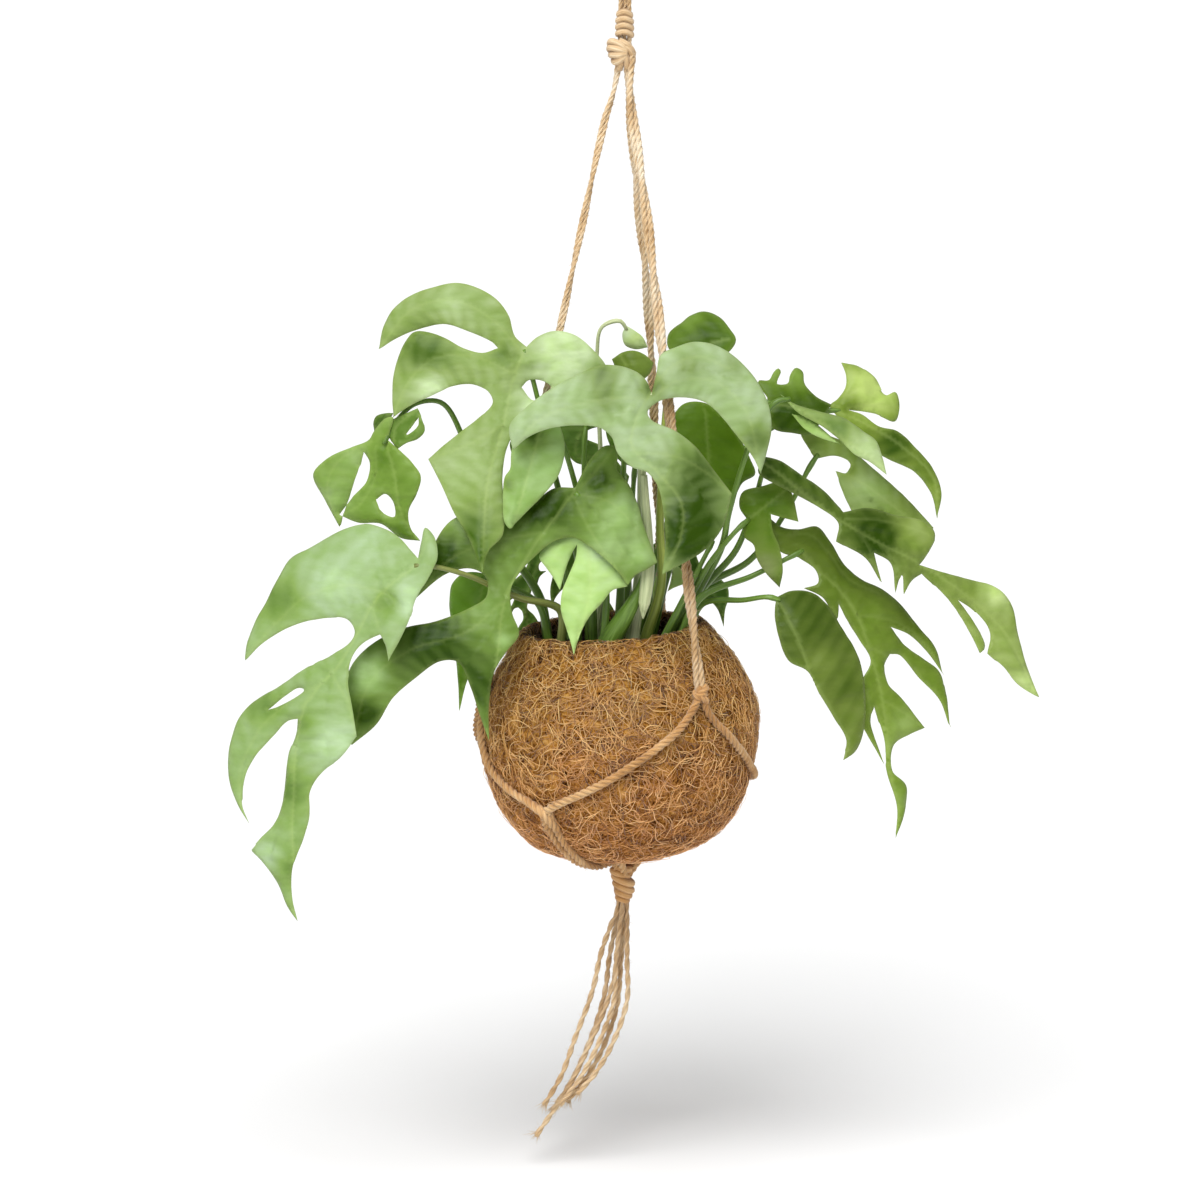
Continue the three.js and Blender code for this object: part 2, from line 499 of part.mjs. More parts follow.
function buildLeaf(leaf) {
  const { foot, lean } = footing(leaf);
  const collar = foot.clone().addScaledVector(lean, FOOT_DEPTH + 4);
  const route = leaf.stalk.map((point) => turned(leaf, place(...point)));
  const end = bladePoint(leaf, ...inPicture(leaf, leaf.junction));
  const curve = new THREE.CatmullRomCurve3([foot, collar, ...route, end], false, "centripetal");
  const steps = Math.max(6, Math.min(9, Math.round(curve.getLength() / 20)));
  const stalk = outward(toSolid(taperedStalk(curve, STALK_FOOT_RADIUS, STALK_TIP_RADIUS, 5, steps)));
  return named(leaf.name, toGeometry(stalk.add(bladeSheet(leaf))), material(leaf.shade, 0.5));
}

// The hole of a stalk in the soil: plain and round, a little wider than the stalk.
function footHole(leaf) {
  const { foot, lean } = footing(leaf);
  const length = FOOT_DEPTH + 8;
  const hole = new THREE.CylinderGeometry(STALK_FOOT_RADIUS + 1.1, STALK_FOOT_RADIUS + 1.1, length, 5);
  hole.applyQuaternion(new THREE.Quaternion().setFromUnitVectors(new THREE.Vector3(0, 1, 0), lean));
  const middle = foot.clone().addScaledVector(lean, length / 2 - 0.5);
  hole.translate(middle.x, middle.y, middle.z);
  return outward(toSolid(hole));
}

// The soil fills the pot.
function buildSoil() {
  const profile = [
    [0, -56], [24, -54], [44, -43], [56, -24], [59.5, 0], [54.5, 19.5], [46, 32.5], [43.4, SOIL_HEIGHT],
    [30, SOIL_HEIGHT + 0.8], [0, SOIL_HEIGHT + 1.2],
  ];
  const geometry = wobblyLathe(profile.map(([radius, height]) => new THREE.Vector2(radius, height)));
  geometry.applyMatrix4(potGroup.matrixWorld);
  let soil = outward(toSolid(geometry));
  for (const leaf of [...LEAVES, ...BACK_LEAVES]) soil = soil.subtract(footHole(leaf));
  return named("potting_soil", toGeometry(soil), SOIL);
}

// Two strands lying side by side as one solid. sideAt gives the direction across the pair.
function pairedRope(curve, radius, steps, sideAt) {
  const section = [];
  for (const degrees of [-68, 0, 68]) {
    const angle = THREE.MathUtils.degToRad(degrees);
    section.push([radius * (1 + Math.cos(angle)), radius * Math.sin(angle)]);
  }
  section.push([0, radius * 0.45]);
  section.push(...section.slice(0, 3).map(([across, up]) => [-across, -up]));
  section.push([0, -radius * 0.45]);
  const rings = [];
  for (let i = 0; i <= steps; i += 1) {
    const centre = curve.getPointAt(i / steps);
    const tangent = curve.getTangentAt(i / steps);
    const side = sideAt(i / steps, centre, tangent);
    const up = new THREE.Vector3().crossVectors(tangent, side);
    rings.push(section.map(([across, rise]) => centre.clone().addScaledVector(side, across).addScaledVector(up, rise)));
  }
  return loft(rings);
}

// A closed surface through rings of equal size, with a flat face at either end.
function loft(rings) {
  const sides = rings[0].length;
  const last = (rings.length - 1) * sides;
  const triangles = [];
  for (let i = 0; i < rings.length - 1; i += 1) {
    for (let j = 0; j < sides; j += 1) {
      const a = i * sides + j;
      const b = i * sides + ((j + 1) % sides);
      triangles.push(a, b, b + sides, a, b + sides, a + sides);
    }
  }
  const face = THREE.ShapeUtils.triangulateShape(flattened(rings[0]), []);
  for (const [a, b, c] of face) triangles.push(a, c, b, last + a, last + b, last + c);
  const geometry = new THREE.BufferGeometry().setFromPoints(rings.flat());
  geometry.setIndex(triangles);
  return geometry;
}

// A ring of points laid in its own plane.
function flattened(points) {
  const centre = points.reduce((sum, point) => sum.add(point), new THREE.Vector3()).divideScalar(points.length);
  const x = points[0].clone().sub(centre).normalize();
  const z = new THREE.Vector3();
  points.forEach((point, i) => {
    const next = points[(i + 1) % points.length];
    z.add(point.clone().sub(centre).cross(next.clone().sub(centre)));
  });
  const y = z.normalize().cross(x);
  return points.map((point) => {
    const offset = point.clone().sub(centre);
    return new THREE.Vector2(offset.dot(x), offset.dot(y));
  });
}

// A pair that twists round its own line: turns in all, starting at an angle.
function twisting(curve, turns, start) {
  const axis = curve.getPointAt(1).sub(curve.getPointAt(0)).normalize();
  const reference = new THREE.Vector3(0, 1, 0).cross(axis).normalize();
  return (t, centre, tangent) => {
    const side = reference.clone().addScaledVector(tangent, -reference.dot(tangent)).normalize();
    return side.applyAxisAngle(tangent, start + t * turns * 2 * Math.PI);
  };
}

// A knot: slanting turns of rope round a full heart, and at times a collar below. frame places it,
// and extra swells it.
function knotSolid(knot, extra = 0) {
  const heart = new THREE.SphereGeometry(1, 6, 5);
  heart.scale(...knot.heart.map((size) => size + extra));
  let solid = outward(toSolid(heart));
  for (const turn of knot.turns) {
    const geometry = new THREE.TorusGeometry(turn.radius, turn.tube + extra, 5, 8);
    geometry.scale(1, turn.depth ?? 1, 1);
    geometry.rotateY(THREE.MathUtils.degToRad(turn.tilt));
    geometry.rotateX(THREE.MathUtils.degToRad(turn.nod ?? 0));
    geometry.translate(turn.x ?? 0, 0, turn.z);
    solid = solid.add(outward(toSolid(geometry)));
  }
  if (knot.collar) {
    const collar = new THREE.CylinderGeometry(knot.collar + extra, knot.collar + extra, 6, 10);
    collar.rotateX(Math.PI / 2);
    collar.translate(0, 0, 3 - BOTTOM_KNOT_LENGTH / 2);
    solid = solid.add(outward(toSolid(collar)));
  }
  return toSolid(toGeometry(solid).applyMatrix4(knot.frame));
}

function buildKnot(name, knot) {
  return named(name, toGeometry(knotSolid(knot)), JUTE);
}

// A rope shortened to leave a small gap round the knots it runs into.
function trimmed(geometry, knots) {
  let solid = outward(toSolid(geometry));
  for (const knot of knots) solid = solid.subtract(knotSolid(knot, 1.5 * GAP));
  const pieces = solid.decompose();
  return toGeometry(pieces.reduce((a, b) => (a.volume() > b.volume() ? a : b)));
}

// Knots on the pot: their place is an angle round the pot and a height.
function potKnotFrame(degrees, height, lift) {
  const centre = potGroup.localToWorld(onPot(degrees, height, lift));
  const out = around(degrees);
  const side = out.clone().cross(new THREE.Vector3(0, 0, 1));
  return new THREE.Matrix4().makeBasis(side, out, new THREE.Vector3(0, 0, 1)).setPosition(centre);
}

const SHOULDERS = { left: [-82, 22], front: [37.4, 16.6], rear: [158, 16] };
const LOWER = { left: [-34.5, -33], right: [119, -38], rear: [-135, -36] };
const KNOT_LIFT = 4.9;

function shoulderKnot([degrees, height]) {
  return {
    heart: [3, 2.6, 4.4],
    turns: [
      { radius: 2.9, tube: 1.8, tilt: 38, z: 1.7, depth: 0.85 },
      { radius: 2.9, tube: 1.8, tilt: -32, z: -2, depth: 0.85 },
    ],
    frame: potKnotFrame(degrees, height, KNOT_LIFT),
  };
}

function lowerKnot([degrees, height]) {
  return {
    heart: [3.4, 2.6, 4],
    turns: [
      { radius: 3.4, tube: 1.9, tilt: -30, z: 1.6, depth: 0.8 },
      { radius: 3.4, tube: 1.9, tilt: 24, z: -1.9, depth: 0.8 },
    ],
    frame: potKnotFrame(degrees, height, KNOT_LIFT),
  };
}

const TOP_KNOT = {
  heart: [3.8, 3.8, 6],
  turns: [
    { radius: 4, tube: 2.1, tilt: 24, z: 3.2 },
    { radius: 4.1, tube: 2.2, tilt: -22, z: -0.4 },
    { radius: 3.4, tube: 2, tilt: 20, z: -4 },
  ],
  frame: new THREE.Matrix4().makeTranslation(-1, 0, TOP_KNOT_HEIGHT),
};

const BOTTOM_KNOT_TOP = place(622, 869, 0);
const BOTTOM_KNOT_LENGTH = 18;
const BOTTOM_KNOT = {
  heart: [4.9, 4.9, 8.8],
  collar: 4.8,
  turns: [
    { radius: 4.2, tube: 2.1, tilt: 28, z: 4.2 },
    { radius: 4.5, tube: 2.1, tilt: 24, z: 0 },
    { radius: 3.3, tube: 1.9, tilt: 18, z: -4.6 },
  ],
  frame: new THREE.Matrix4().makeTranslation(BOTTOM_KNOT_TOP.x, BOTTOM_KNOT_TOP.y, BOTTOM_KNOT_TOP.z - 8.5),
};

const KNOTS = {
  shoulder_knot_left: shoulderKnot(SHOULDERS.left),
  shoulder_knot_front: shoulderKnot(SHOULDERS.front),
  shoulder_knot_rear: shoulderKnot(SHOULDERS.rear),
  lower_knot_left: lowerKnot(LOWER.left),
  lower_knot_right: lowerKnot(LOWER.right),
  lower_knot_rear: lowerKnot(LOWER.rear),
  top_knot: TOP_KNOT,
  bottom_knot: BOTTOM_KNOT,
};

function knotCentre(name) {
  return new THREE.Vector3().setFromMatrixPosition(KNOTS[name].frame);
}

// The hanging loop: a doubled strand that opens above the wrap and closes at its crown. The two
// strands lie side by side in the left limb and one behind the other in the right limb.
function buildLoop() {
  const bottom = WRAP_TOP - WRAP_TURNS * WRAP_PITCH + 0.4;
  const points = [
    [-1.15, bottom], [-1.15, WRAP_TOP - 5], [-1.4, WRAP_TOP + 2], [-LOOP_HALF_WIDTH + 2, -28], [-LOOP_HALF_WIDTH, -14],
    [-7.5, -3], [0, LOOP_STRAND_RADIUS], [7.5, -3], [LOOP_HALF_WIDTH, -14], [LOOP_HALF_WIDTH - 2, -28],
    [2.5, WRAP_TOP + 2], [2.2, WRAP_TOP - 5], [2.2, bottom],
  ].map(([x, z]) => new THREE.Vector3(x, 0, z));
  const curve = new THREE.CatmullRomCurve3(points, false, "centripetal");
  const sideAt = (t, centre, tangent) => {
    const across = new THREE.Vector3(tangent.z, 0, -tangent.x).normalize();
    return across.applyAxisAngle(tangent, (t * Math.PI) / 2);
  };
  return named("hanging_loop", toGeometry(outward(toSolid(pairedRope(curve, LOOP_STRAND_RADIUS, 26, sideAt)))), JUTE);
}

// The wrap: rope wound round the neck, with a ridge for each turn and a way through for the loop.
function buildWrap() {
  const inner = 4.2;
  const profile = [];
  for (let turn = 0; turn < WRAP_TURNS; turn += 1) {
    const top = WRAP_TOP - turn * WRAP_PITCH;
    profile.push([4.6, top], [5.2, top - WRAP_PITCH / 2]);
  }
  const bottom = WRAP_TOP - WRAP_TURNS * WRAP_PITCH;
  profile.push([4.6, bottom], [inner, bottom], [inner, WRAP_TOP], [4.6, WRAP_TOP]);
  const geometry = new THREE.LatheGeometry(profile.map(([radius, z]) => new THREE.Vector2(radius, z)), 10);
  geometry.rotateX(Math.PI / 2);
  return named("top_wrap", toGeometry(outward(toSolid(geometry))), JUTE);
}

// The legs: twisted pairs of strands from the top knot to the shoulder knots.
const LEGS = {
  left: { start: [-2.4, 0], route: [[614, 90, 0], [605, 118, -0.5]] },
  front: { start: [3.1, -2.6], route: [[633, 100, -5], [644, 200, -14]] },
  rear: { start: [2.2, 3.4], route: [[632, 100, 7], [637, 200, 18]] },
};

function buildLeg(side) {
  const { start, route } = LEGS[side];
  const shoulder = `shoulder_knot_${side}`;
  const points = [
    new THREE.Vector3(start[0], start[1], TOP_KNOT_HEIGHT - 1),
    ...route.map((point) => place(...point)),
    knotCentre(shoulder),
  ];
  const curve = new THREE.CatmullRomCurve3(points, false, "centripetal");
  const geometry = pairedRope(curve, LEG_STRAND_RADIUS, 21, twisting(curve, LEG_TURNS, 0.4));
  return named(`leg_${side}`, trimmed(geometry, [KNOTS.top_knot, KNOTS[shoulder]]), JUTE);
}

// The net: six ropes that lie on the pot between the shoulder knots and the lower knots.
// Each way is a list of angles round the pot and heights.
const NET = {
  net_front_left: { ends: ["front", "left"], way: [[32, 10], [24, 2.6], [15.3, -3.6], [7, -9.4], [-8, -19.2], [-24, -27.6]] },
  net_front_right: { ends: ["front", "right"], way: [[41, 7], [50, -4.5], [60, -15], [74, -26], [90, -32.5], [107, -36.5]] },
  net_left_front: { ends: ["left", "left"], way: [[-77, 12], [-77, 3], [-74, -6], [-69.5, -14], [-61.5, -21], [-49.5, -27]] },
  net_left_rear: { ends: ["left", "rear"], way: [[-91, 10], [-101, -7], [-115, -23], [-127, -31.5]] },
  net_rear_left: { ends: ["rear", "rear"], way: [[166, 6], [178, -8], [193, -20], [208, -29.5]] },
  net_rear_right: { ends: ["rear", "right"], way: [[152, 6], [146, -7], [139, -19], [131, -30]] },
};

function buildNetRope(name) {
  const [shoulder, lower] = NET[name].ends;
  const knots = [KNOTS[`shoulder_knot_${shoulder}`], KNOTS[`lower_knot_${lower}`]];
  const way = NET[name].way.map(([degrees, height]) => {
    return potGroup.localToWorld(onPot(degrees, height, NET_ROPE_RADIUS + 0.7));
  });
  const ends = knots.map((knot) => new THREE.Vector3().setFromMatrixPosition(knot.frame));
  const geometry = rope([ends[0], ...way, ends[1]], NET_ROPE_RADIUS, 6, 12);
  return named(name, trimmed(geometry, knots), JUTE);
}

// The base ropes: flat pairs from the lower knots, in under the pot, to the bottom knot.
function buildBaseRope(side) {
  const [degrees, height] = LOWER[side];
  const lift = BASE_ROPE_RADIUS + 0.7;
  const down = [height - 10, height - 17, -61].map((level) => {
    return potGroup.localToWorld(onPot(degrees, level, lift));
  });
  const under = [[30, -70.5], [17, -72.6], [8, -75]].map(([radius, level]) => {
    return potGroup.localToWorld(around(degrees).multiplyScalar(radius).setZ(level));
  });
  const points = [knotCentre(`lower_knot_${side}`), ...down, ...under, knotCentre("bottom_knot")];
  const curve = new THREE.CatmullRomCurve3(points, false, "centripetal");
  const side3 = around(degrees + 90);
  const sideAt = (t, centre, tangent) => side3.clone().addScaledVector(tangent, -side3.dot(tangent)).normalize();
  const geometry = pairedRope(curve, BASE_ROPE_RADIUS, 12, sideAt);
  return named(`base_rope_${side}`, trimmed(geometry, [KNOTS[`lower_knot_${side}`], BOTTOM_KNOT]), JUTE);
}

// The tassel: six loose strands out of the bottom knot, each a list of [u, v, depth].
const TASSEL = [
  { start: [-3, -0.9], steps: 13,
    way: [[611, 925, -2], [601, 953, -3.4], [592, 992, -3.4], [575, 1038, -3.4], [561, 1076, -3.4], [544, 1105, -3.4]] },
  { start: [-1.9, 2.6], steps: 13,
    way: [[616, 925, 3.2], [610, 953, 3.4], [604, 996, 3.4], [590, 1040, 3.4], [572, 1080, 3.4], [553, 1109, 3.4]] },
  { start: [0, 0], steps: 15,
    way: [[620, 925, 0], [617, 965, 0], [606, 1005, 0], [591, 1041, 0], [569, 1086, 0], [536, 1136, 0]] },
  { start: [0, -3.3], steps: 12,
    way: [[620, 925, -3.6], [616, 960, -3.4], [614, 1000, -3.4], [600, 1040, -3.4], [582, 1075, -3.4], [560, 1105, -3.4]] },
  { start: [3, -1.1], steps: 12,
    way: [[627, 925, -2.6], [627, 960, -3.4], [627, 1000, -3.4], [614, 1040, -3.4], [596, 1072, -3.4], [577, 1094, -3.4]] },
  { start: [1.9, 2.6], steps: 12,
    way: [[624, 925, 3.2], [621, 960, 3.4], [617, 1005, 3.4], [604, 1045, 3.4], [588, 1075, 3.4], [567, 1102, 3.4]] },
];

function buildTassel(strand, index) {
  const [x, y] = strand.start;
  const top = knotCentre("bottom_knot").add(new THREE.Vector3(x, y, -BOTTOM_KNOT_LENGTH / 2 - GAP));
  const below = top.clone().setZ(top.z - 4);
  const points = [top, below, ...strand.way.map((point) => place(...point))];
  return named(`tassel_${index + 1}`, rope(points, TASSEL_STRAND_RADIUS, 8, strand.steps), JUTE);
}

const root = new THREE.Group();
const pot = buildPot();
pot.applyMatrix4(potGroup.matrixWorld);
root.add(pot, buildSoil());
[...LEAVES, ...BACK_LEAVES].forEach((leaf) => root.add(buildLeaf(leaf)));
root.add(buildLoop(), buildWrap());
Object.entries(KNOTS).forEach(([name, knot]) => root.add(buildKnot(name, knot)));
["left", "front", "rear"].forEach((side) => root.add(buildLeg(side)));
Object.keys(NET).forEach((name) => root.add(buildNetRope(name)));
Object.keys(LOWER).forEach((side) => root.add(buildBaseRope(side)));
TASSEL.forEach((strand, index) => root.add(buildTassel(strand, index)));

export default root;
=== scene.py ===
import json
import math

import bpy
import numpy as np
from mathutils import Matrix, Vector, noise
from mathutils.geometry import delaunay_2d_cdt


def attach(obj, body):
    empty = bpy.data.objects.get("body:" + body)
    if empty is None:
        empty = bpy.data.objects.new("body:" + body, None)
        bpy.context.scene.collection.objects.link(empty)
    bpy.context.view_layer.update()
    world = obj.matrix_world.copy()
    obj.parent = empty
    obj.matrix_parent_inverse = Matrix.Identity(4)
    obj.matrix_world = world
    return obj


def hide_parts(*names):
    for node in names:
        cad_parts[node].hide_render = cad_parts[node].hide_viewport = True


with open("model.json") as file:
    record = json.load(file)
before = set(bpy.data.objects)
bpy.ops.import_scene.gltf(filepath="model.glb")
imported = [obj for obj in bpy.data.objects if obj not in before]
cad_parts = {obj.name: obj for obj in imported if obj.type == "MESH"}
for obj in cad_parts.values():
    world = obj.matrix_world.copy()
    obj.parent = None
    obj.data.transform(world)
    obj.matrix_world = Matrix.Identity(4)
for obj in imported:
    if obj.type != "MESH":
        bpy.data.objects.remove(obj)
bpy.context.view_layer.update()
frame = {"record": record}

MM = 0.001
FULL_TURN = 2 * math.pi
THREE_SIDES = (0, 2.1, 4.2)

POT_AXIS_X = -3.2
POT_TILT = math.radians(-3.5)
POT_RIM_HEIGHT = 45
SOIL_HEIGHT = 36
SOIL_RADIUS = 44
BLADE_THICKNESS = 0.5
STALK_FOOT_RADIUS = 2.6
STALK_TIP_RADIUS = 1.15
FOOT_DEPTH = 11
LOOP_STRAND_RADIUS = 1.08
LOOP_HALF_WIDTH = 11
WRAP_TOP = -58.5
WRAP_BOTTOM = -75.5
TOP_KNOT_HEIGHT = -79
LEG_TURNS = 3.5
NET_ROPE_RADIUS = 2
BASE_ROPE_RADIUS = 1.75
TASSEL_DIAMETER = 2.9
KNOT_LIFT = 4.9
FLOOR_HEIGHT = -632
FLOOR_RADIUS = 60000

# The plant is drawn in its front view: a picture 1200 wide and 1200 high, u to the right and
# v downward. At the pot's axis one unit of the picture is MM_PER_UNIT.
PICTURE_SIZE = 1200
MM_PER_UNIT = 0.49
VIEW_DISTANCE = 2100
VIEW_ELEVATION = math.radians(9)
VIEW_AHEAD = np.array([0, math.cos(VIEW_ELEVATION), -math.sin(VIEW_ELEVATION)])
VIEW_UP = np.array([0, math.sin(VIEW_ELEVATION), math.cos(VIEW_ELEVATION)])
VIEW_RIGHT = np.array([1.0, 0, 0])
VIEW_POINT = np.array([-11.8, 0, -345]) - VIEW_DISTANCE * VIEW_AHEAD
SENSOR_WIDTH = 36


def place(u, v, y):
    """The points seen at (u, v) that lie at depth y."""
    u, v, y = np.broadcast_arrays(np.asarray(u, float), v, y)
    across = ((u - PICTURE_SIZE / 2) * MM_PER_UNIT / VIEW_DISTANCE)[..., None]
    rise = ((PICTURE_SIZE / 2 - v) * MM_PER_UNIT / VIEW_DISTANCE)[..., None]
    ray = VIEW_AHEAD + VIEW_UP * rise + VIEW_RIGHT * across
    return VIEW_POINT + ray * ((y - VIEW_POINT[1]) / ray[..., 1])[..., None]


def make_camera():
    data = bpy.data.cameras.new("camera")
    data.sensor_width = SENSOR_WIDTH
    data.lens = SENSOR_WIDTH * VIEW_DISTANCE / (PICTURE_SIZE * MM_PER_UNIT)
    data.clip_end = 100
    camera = bpy.data.objects.new("camera", data)
    camera.location = Vector(VIEW_POINT * MM)
    camera.rotation_euler = (math.pi / 2 - VIEW_ELEVATION, 0, 0)
    bpy.context.scene.collection.objects.link(camera)
    bpy.context.scene.camera = camera


make_camera()


# Curves.

def spline(points, spacing):
    """Even points along the smooth curve through the given ones."""
    p = np.asarray(points, float)
    p = np.vstack([2 * p[0] - p[1], p, 2 * p[-1] - p[-2]])
    step = np.maximum(np.linalg.norm(np.diff(p, axis=0), axis=1), 1e-9) ** 0.5
    x = np.linspace(0, 1, 16, endpoint=False)[:, None]
    dense = []
    for i in range(1, len(p) - 2):
        d0, d1, d2 = step[i - 1], step[i], step[i + 1]
        t1 = (p[i] - p[i - 1]) / d0 - (p[i + 1] - p[i - 1]) / (d0 + d1) + (p[i + 1] - p[i]) / d1
        t2 = (p[i + 1] - p[i]) / d1 - (p[i + 2] - p[i]) / (d1 + d2) + (p[i + 2] - p[i + 1]) / d2
        t1, t2 = t1 * d1, t2 * d1
        rise = p[i + 1] - p[i]
        dense.append(p[i] + t1 * x + (3 * rise - 2 * t1 - t2) * x**2 + (t1 + t2 - 2 * rise) * x**3)
    dense.append(p[-2:-1])
    return even(np.vstack(dense), spacing)


def even(points, spacing):
    """The same line with its points set at even steps."""
    along = lengths(points)
    count = max(2, int(round(along[-1] / spacing)) + 1)
    at = np.linspace(0, along[-1], count)
    return np.stack([np.interp(at, along, values) for values in points.T], axis=1)


def lengths(points):
    """How far along the line each point lies."""
    return np.concatenate([[0], np.cumsum(np.linalg.norm(np.diff(points, axis=0), axis=1))])


def unit(vectors):
    return vectors / np.maximum(np.linalg.norm(vectors, axis=-1, keepdims=True), 1e-12)


def ring_angles(count):
    return np.linspace(0, FULL_TURN, count, endpoint=False)


def frames(points):
    """Tangent and two sideways directions at each point, carried along without a twist."""
    tangent = unit(np.gradient(points, axis=0))
    start = np.cross(tangent[0], [0, 0, 1] if abs(tangent[0][2]) < 0.9 else [0, 1, 0])
    side = [unit(start)]
    for t in tangent[1:]:
        side.append(unit(side[-1] - t * (side[-1] @ t)))
    side = np.array(side)
    return tangent, side, np.cross(tangent, side)


# Meshes.

def ring_triangles(rows, columns):
    """Triangles between rows of points, each row a ring."""
    i = np.arange(rows - 1)[:, None] * columns
    j = np.arange(columns)[None, :]
    k = (j + 1) % columns
    a, b, c, d = i + j, i + k, i + columns + k, i + columns + j
    return np.stack([np.stack([a, b, c], -1), np.stack([a, c, d], -1)]).reshape(-1, 3)


def cap_triangles(ring, flip):
    fan = [(ring[0], ring[i], ring[i + 1]) for i in range(1, len(ring) - 1)]
    return [triangle[::-1] for triangle in fan] if flip else fan


class Bag:
    """Points, triangles and texture values, gathered until they become one piece."""

    def __init__(self):
        self.points, self.triangles, self.strand, self.look = [], [], [], []
        self.tone, self.green = [], []
        self.count = 0

    def add(self, points, triangles, strand=None, tone=0.5, look=0, green=0):
        points = np.asarray(points, float).reshape(-1, 3)
        self.points.append(points)
        self.triangles.append(np.asarray(triangles).reshape(-1, 3) + self.count)
        self.strand.append(points if strand is None else np.asarray(strand).reshape(-1, 3))
        self.tone.append(np.broadcast_to(tone, len(points)).astype(float))
        self.green.append(np.broadcast_to(green, len(points)).astype(float))
        self.look.append(np.full(len(self.triangles[-1]), look))
        self.count += len(points)

    def add_rings(self, rings, strand, tone):
        """A strand skinned over its rings of points and closed at both ends."""
        rows, sides = rings.shape[:2]
        last = (rows - 1) * sides
        ends = cap_triangles(range(sides), True) + cap_triangles(range(last, last + sides), False)
        self.add(rings, np.vstack([ring_triangles(rows, sides), ends]), strand, tone)

    def add_faces(self, triangles, back, look):
        """More faces on the last points added, which are so many back."""
        self.triangles.append(np.asarray(triangles) + self.count - back)
        self.look.append(np.full(len(triangles), look))

    def piece(self, name, looks, slot, replaces=()):
        """The mesh of all that was gathered, as one piece on the root."""
        points = np.vstack(self.points) * MM
        mesh = bpy.data.meshes.new(name)
        mesh.from_pydata(points.tolist(), [], np.vstack(self.triangles).tolist())
        for look in looks:
            mesh.materials.append(look)
        mesh.polygons.foreach_set("material_index", np.concatenate(self.look).astype(np.int32))
        strand = mesh.attributes.new("strand", "FLOAT_VECTOR", "POINT")
        strand.data.foreach_set("vector", (np.vstack(self.strand) * MM).ravel())
        for title, values in (("tone", self.tone), ("green", self.green)):
            made = mesh.attributes.new(title, "FLOAT", "POINT")
            made.data.foreach_set("value", np.concatenate(values))
        mesh.shade_smooth()
        made = bpy.data.objects.new(name, mesh)
        bpy.context.scene.collection.objects.link(made)
        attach(made, "root")
        if replaces:
            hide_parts(*replaces)
        return made


def tube(bag, points, radius, sides, squash=1.0, heart=None):
    """A round stalk or strand along the points. radius may change along it. One that is wrapped
    round a heart has shade painted on its side that faces the heart, in the creases between turns."""
    _, side, up = frames(points)
    radius = np.broadcast_to(radius, len(points))[:, None, None]
    angle = ring_angles(sides)
    x, y = np.cos(angle)[None, :, None], np.sin(angle)[None, :, None]
    rings = points[:, None] + radius * (x * side[:, None] + squash * y * up[:, None])
    along = np.broadcast_to(lengths(points)[:, None], rings.shape[:2])
    strand = np.stack([along, radius[..., 0] * x[..., 0], radius[..., 0] * y[..., 0]], axis=-1)
    tone = 0.5
    if heart is not None:
        # Painted shade: tone is low on the side that faces the heart.
        facing = (unit(rings - points[:, None]) * unit(points - heart)[:, None]).sum(axis=-1)
        tone = np.clip(0.25 + 0.75 * facing, 0, 1).ravel()
    bag.add_rings(rings, strand, tone)


def cord(bag, points, diameter, pitch, turn, plies=3, sides=6, clean=1.0):
    """A rope of twisted plies along the points, which lie a small part of the pitch apart. clean
    is less where the rope is browner."""
    tangent, side, up = frames(points)
    thick = diameter * (0.32 if plies == 2 else 0.285)
    along = lengths(points)
    angle = ring_angles(sides)
    x, y = np.cos(angle)[None, :], np.sin(angle)[None, :]
    # The strands are painted darker where they meet, as shade in the groove between them.
    tone = (0.7 + 0.3 * x) * np.broadcast_to(clean, len(points))[:, None]
    for ply in range(plies):
        phase = turn + along * FULL_TURN / pitch + ply * FULL_TURN / plies
        out = side * np.cos(phase)[:, None] + up * np.sin(phase)[:, None]
        across = np.cross(tangent, out)
        waver = 1 + 0.06 * np.sin(along * 0.9 + ply * 2 + turn) + 0.04 * np.sin(along * 2.3 + turn * 3)
        reach = (thick * waver)[:, None, None]
        centre = points + out * (diameter / 2 - thick)
        rings = centre[:, None] + reach * (x[..., None] * out[:, None] + y[..., None] * across[:, None])
        strand = np.broadcast_arrays(along[:, None], x * thick + ply * 9, y * thick + turn * 5)
        bag.add_rings(rings, np.stack(strand, axis=-1), tone.ravel())


def hairs(bag, roots, directions, length, width, rng):
    """Fine stray fibres: three-sided, bent, and tapered to a point."""
    count = len(roots)
    directions, length = unit(directions), length[:, None]
    drift = unit(rng.normal(size=(count, 3))) * 0.5
    middle = roots + directions * length * 0.5 + drift * length * 0.12
    tip = roots + directions * length * 0.9 + drift * length * 0.45
    side = unit(np.cross(directions, rng.normal(size=(count, 3))))
    up = np.cross(directions, side)
    rings = []
    for centre, size in ((roots, 1.0), (middle, 0.75)):
        for angle in THREE_SIDES:
            rings.append(centre + width * size * (math.cos(angle) * side + math.sin(angle) * up))
    rings.append(tip)
    local = [
        (0, 1, 4), (0, 4, 3), (1, 2, 5), (1, 5, 4), (2, 0, 3), (2, 3, 5),
        (3, 4, 6), (4, 5, 6), (5, 3, 6),
    ]
    triangles = np.array(local)[None] + (np.arange(count) * len(rings))[:, None, None]
    tones = np.repeat(np.clip(0.7 + rng.normal(size=count) * 0.15, 0, 1), len(rings))
    bag.add(np.stack(rings, axis=1), triangles, None, tones)


# Materials.

def colour(hex_code):
    """A display colour as a linear one."""
    channels = [((hex_code >> shift) & 255) / 255 for shift in (16, 8, 0)]
    return [c / 12.92 if c <= 0.04045 else ((c + 0.055) / 1.055) ** 2.4 for c in channels] + [1]


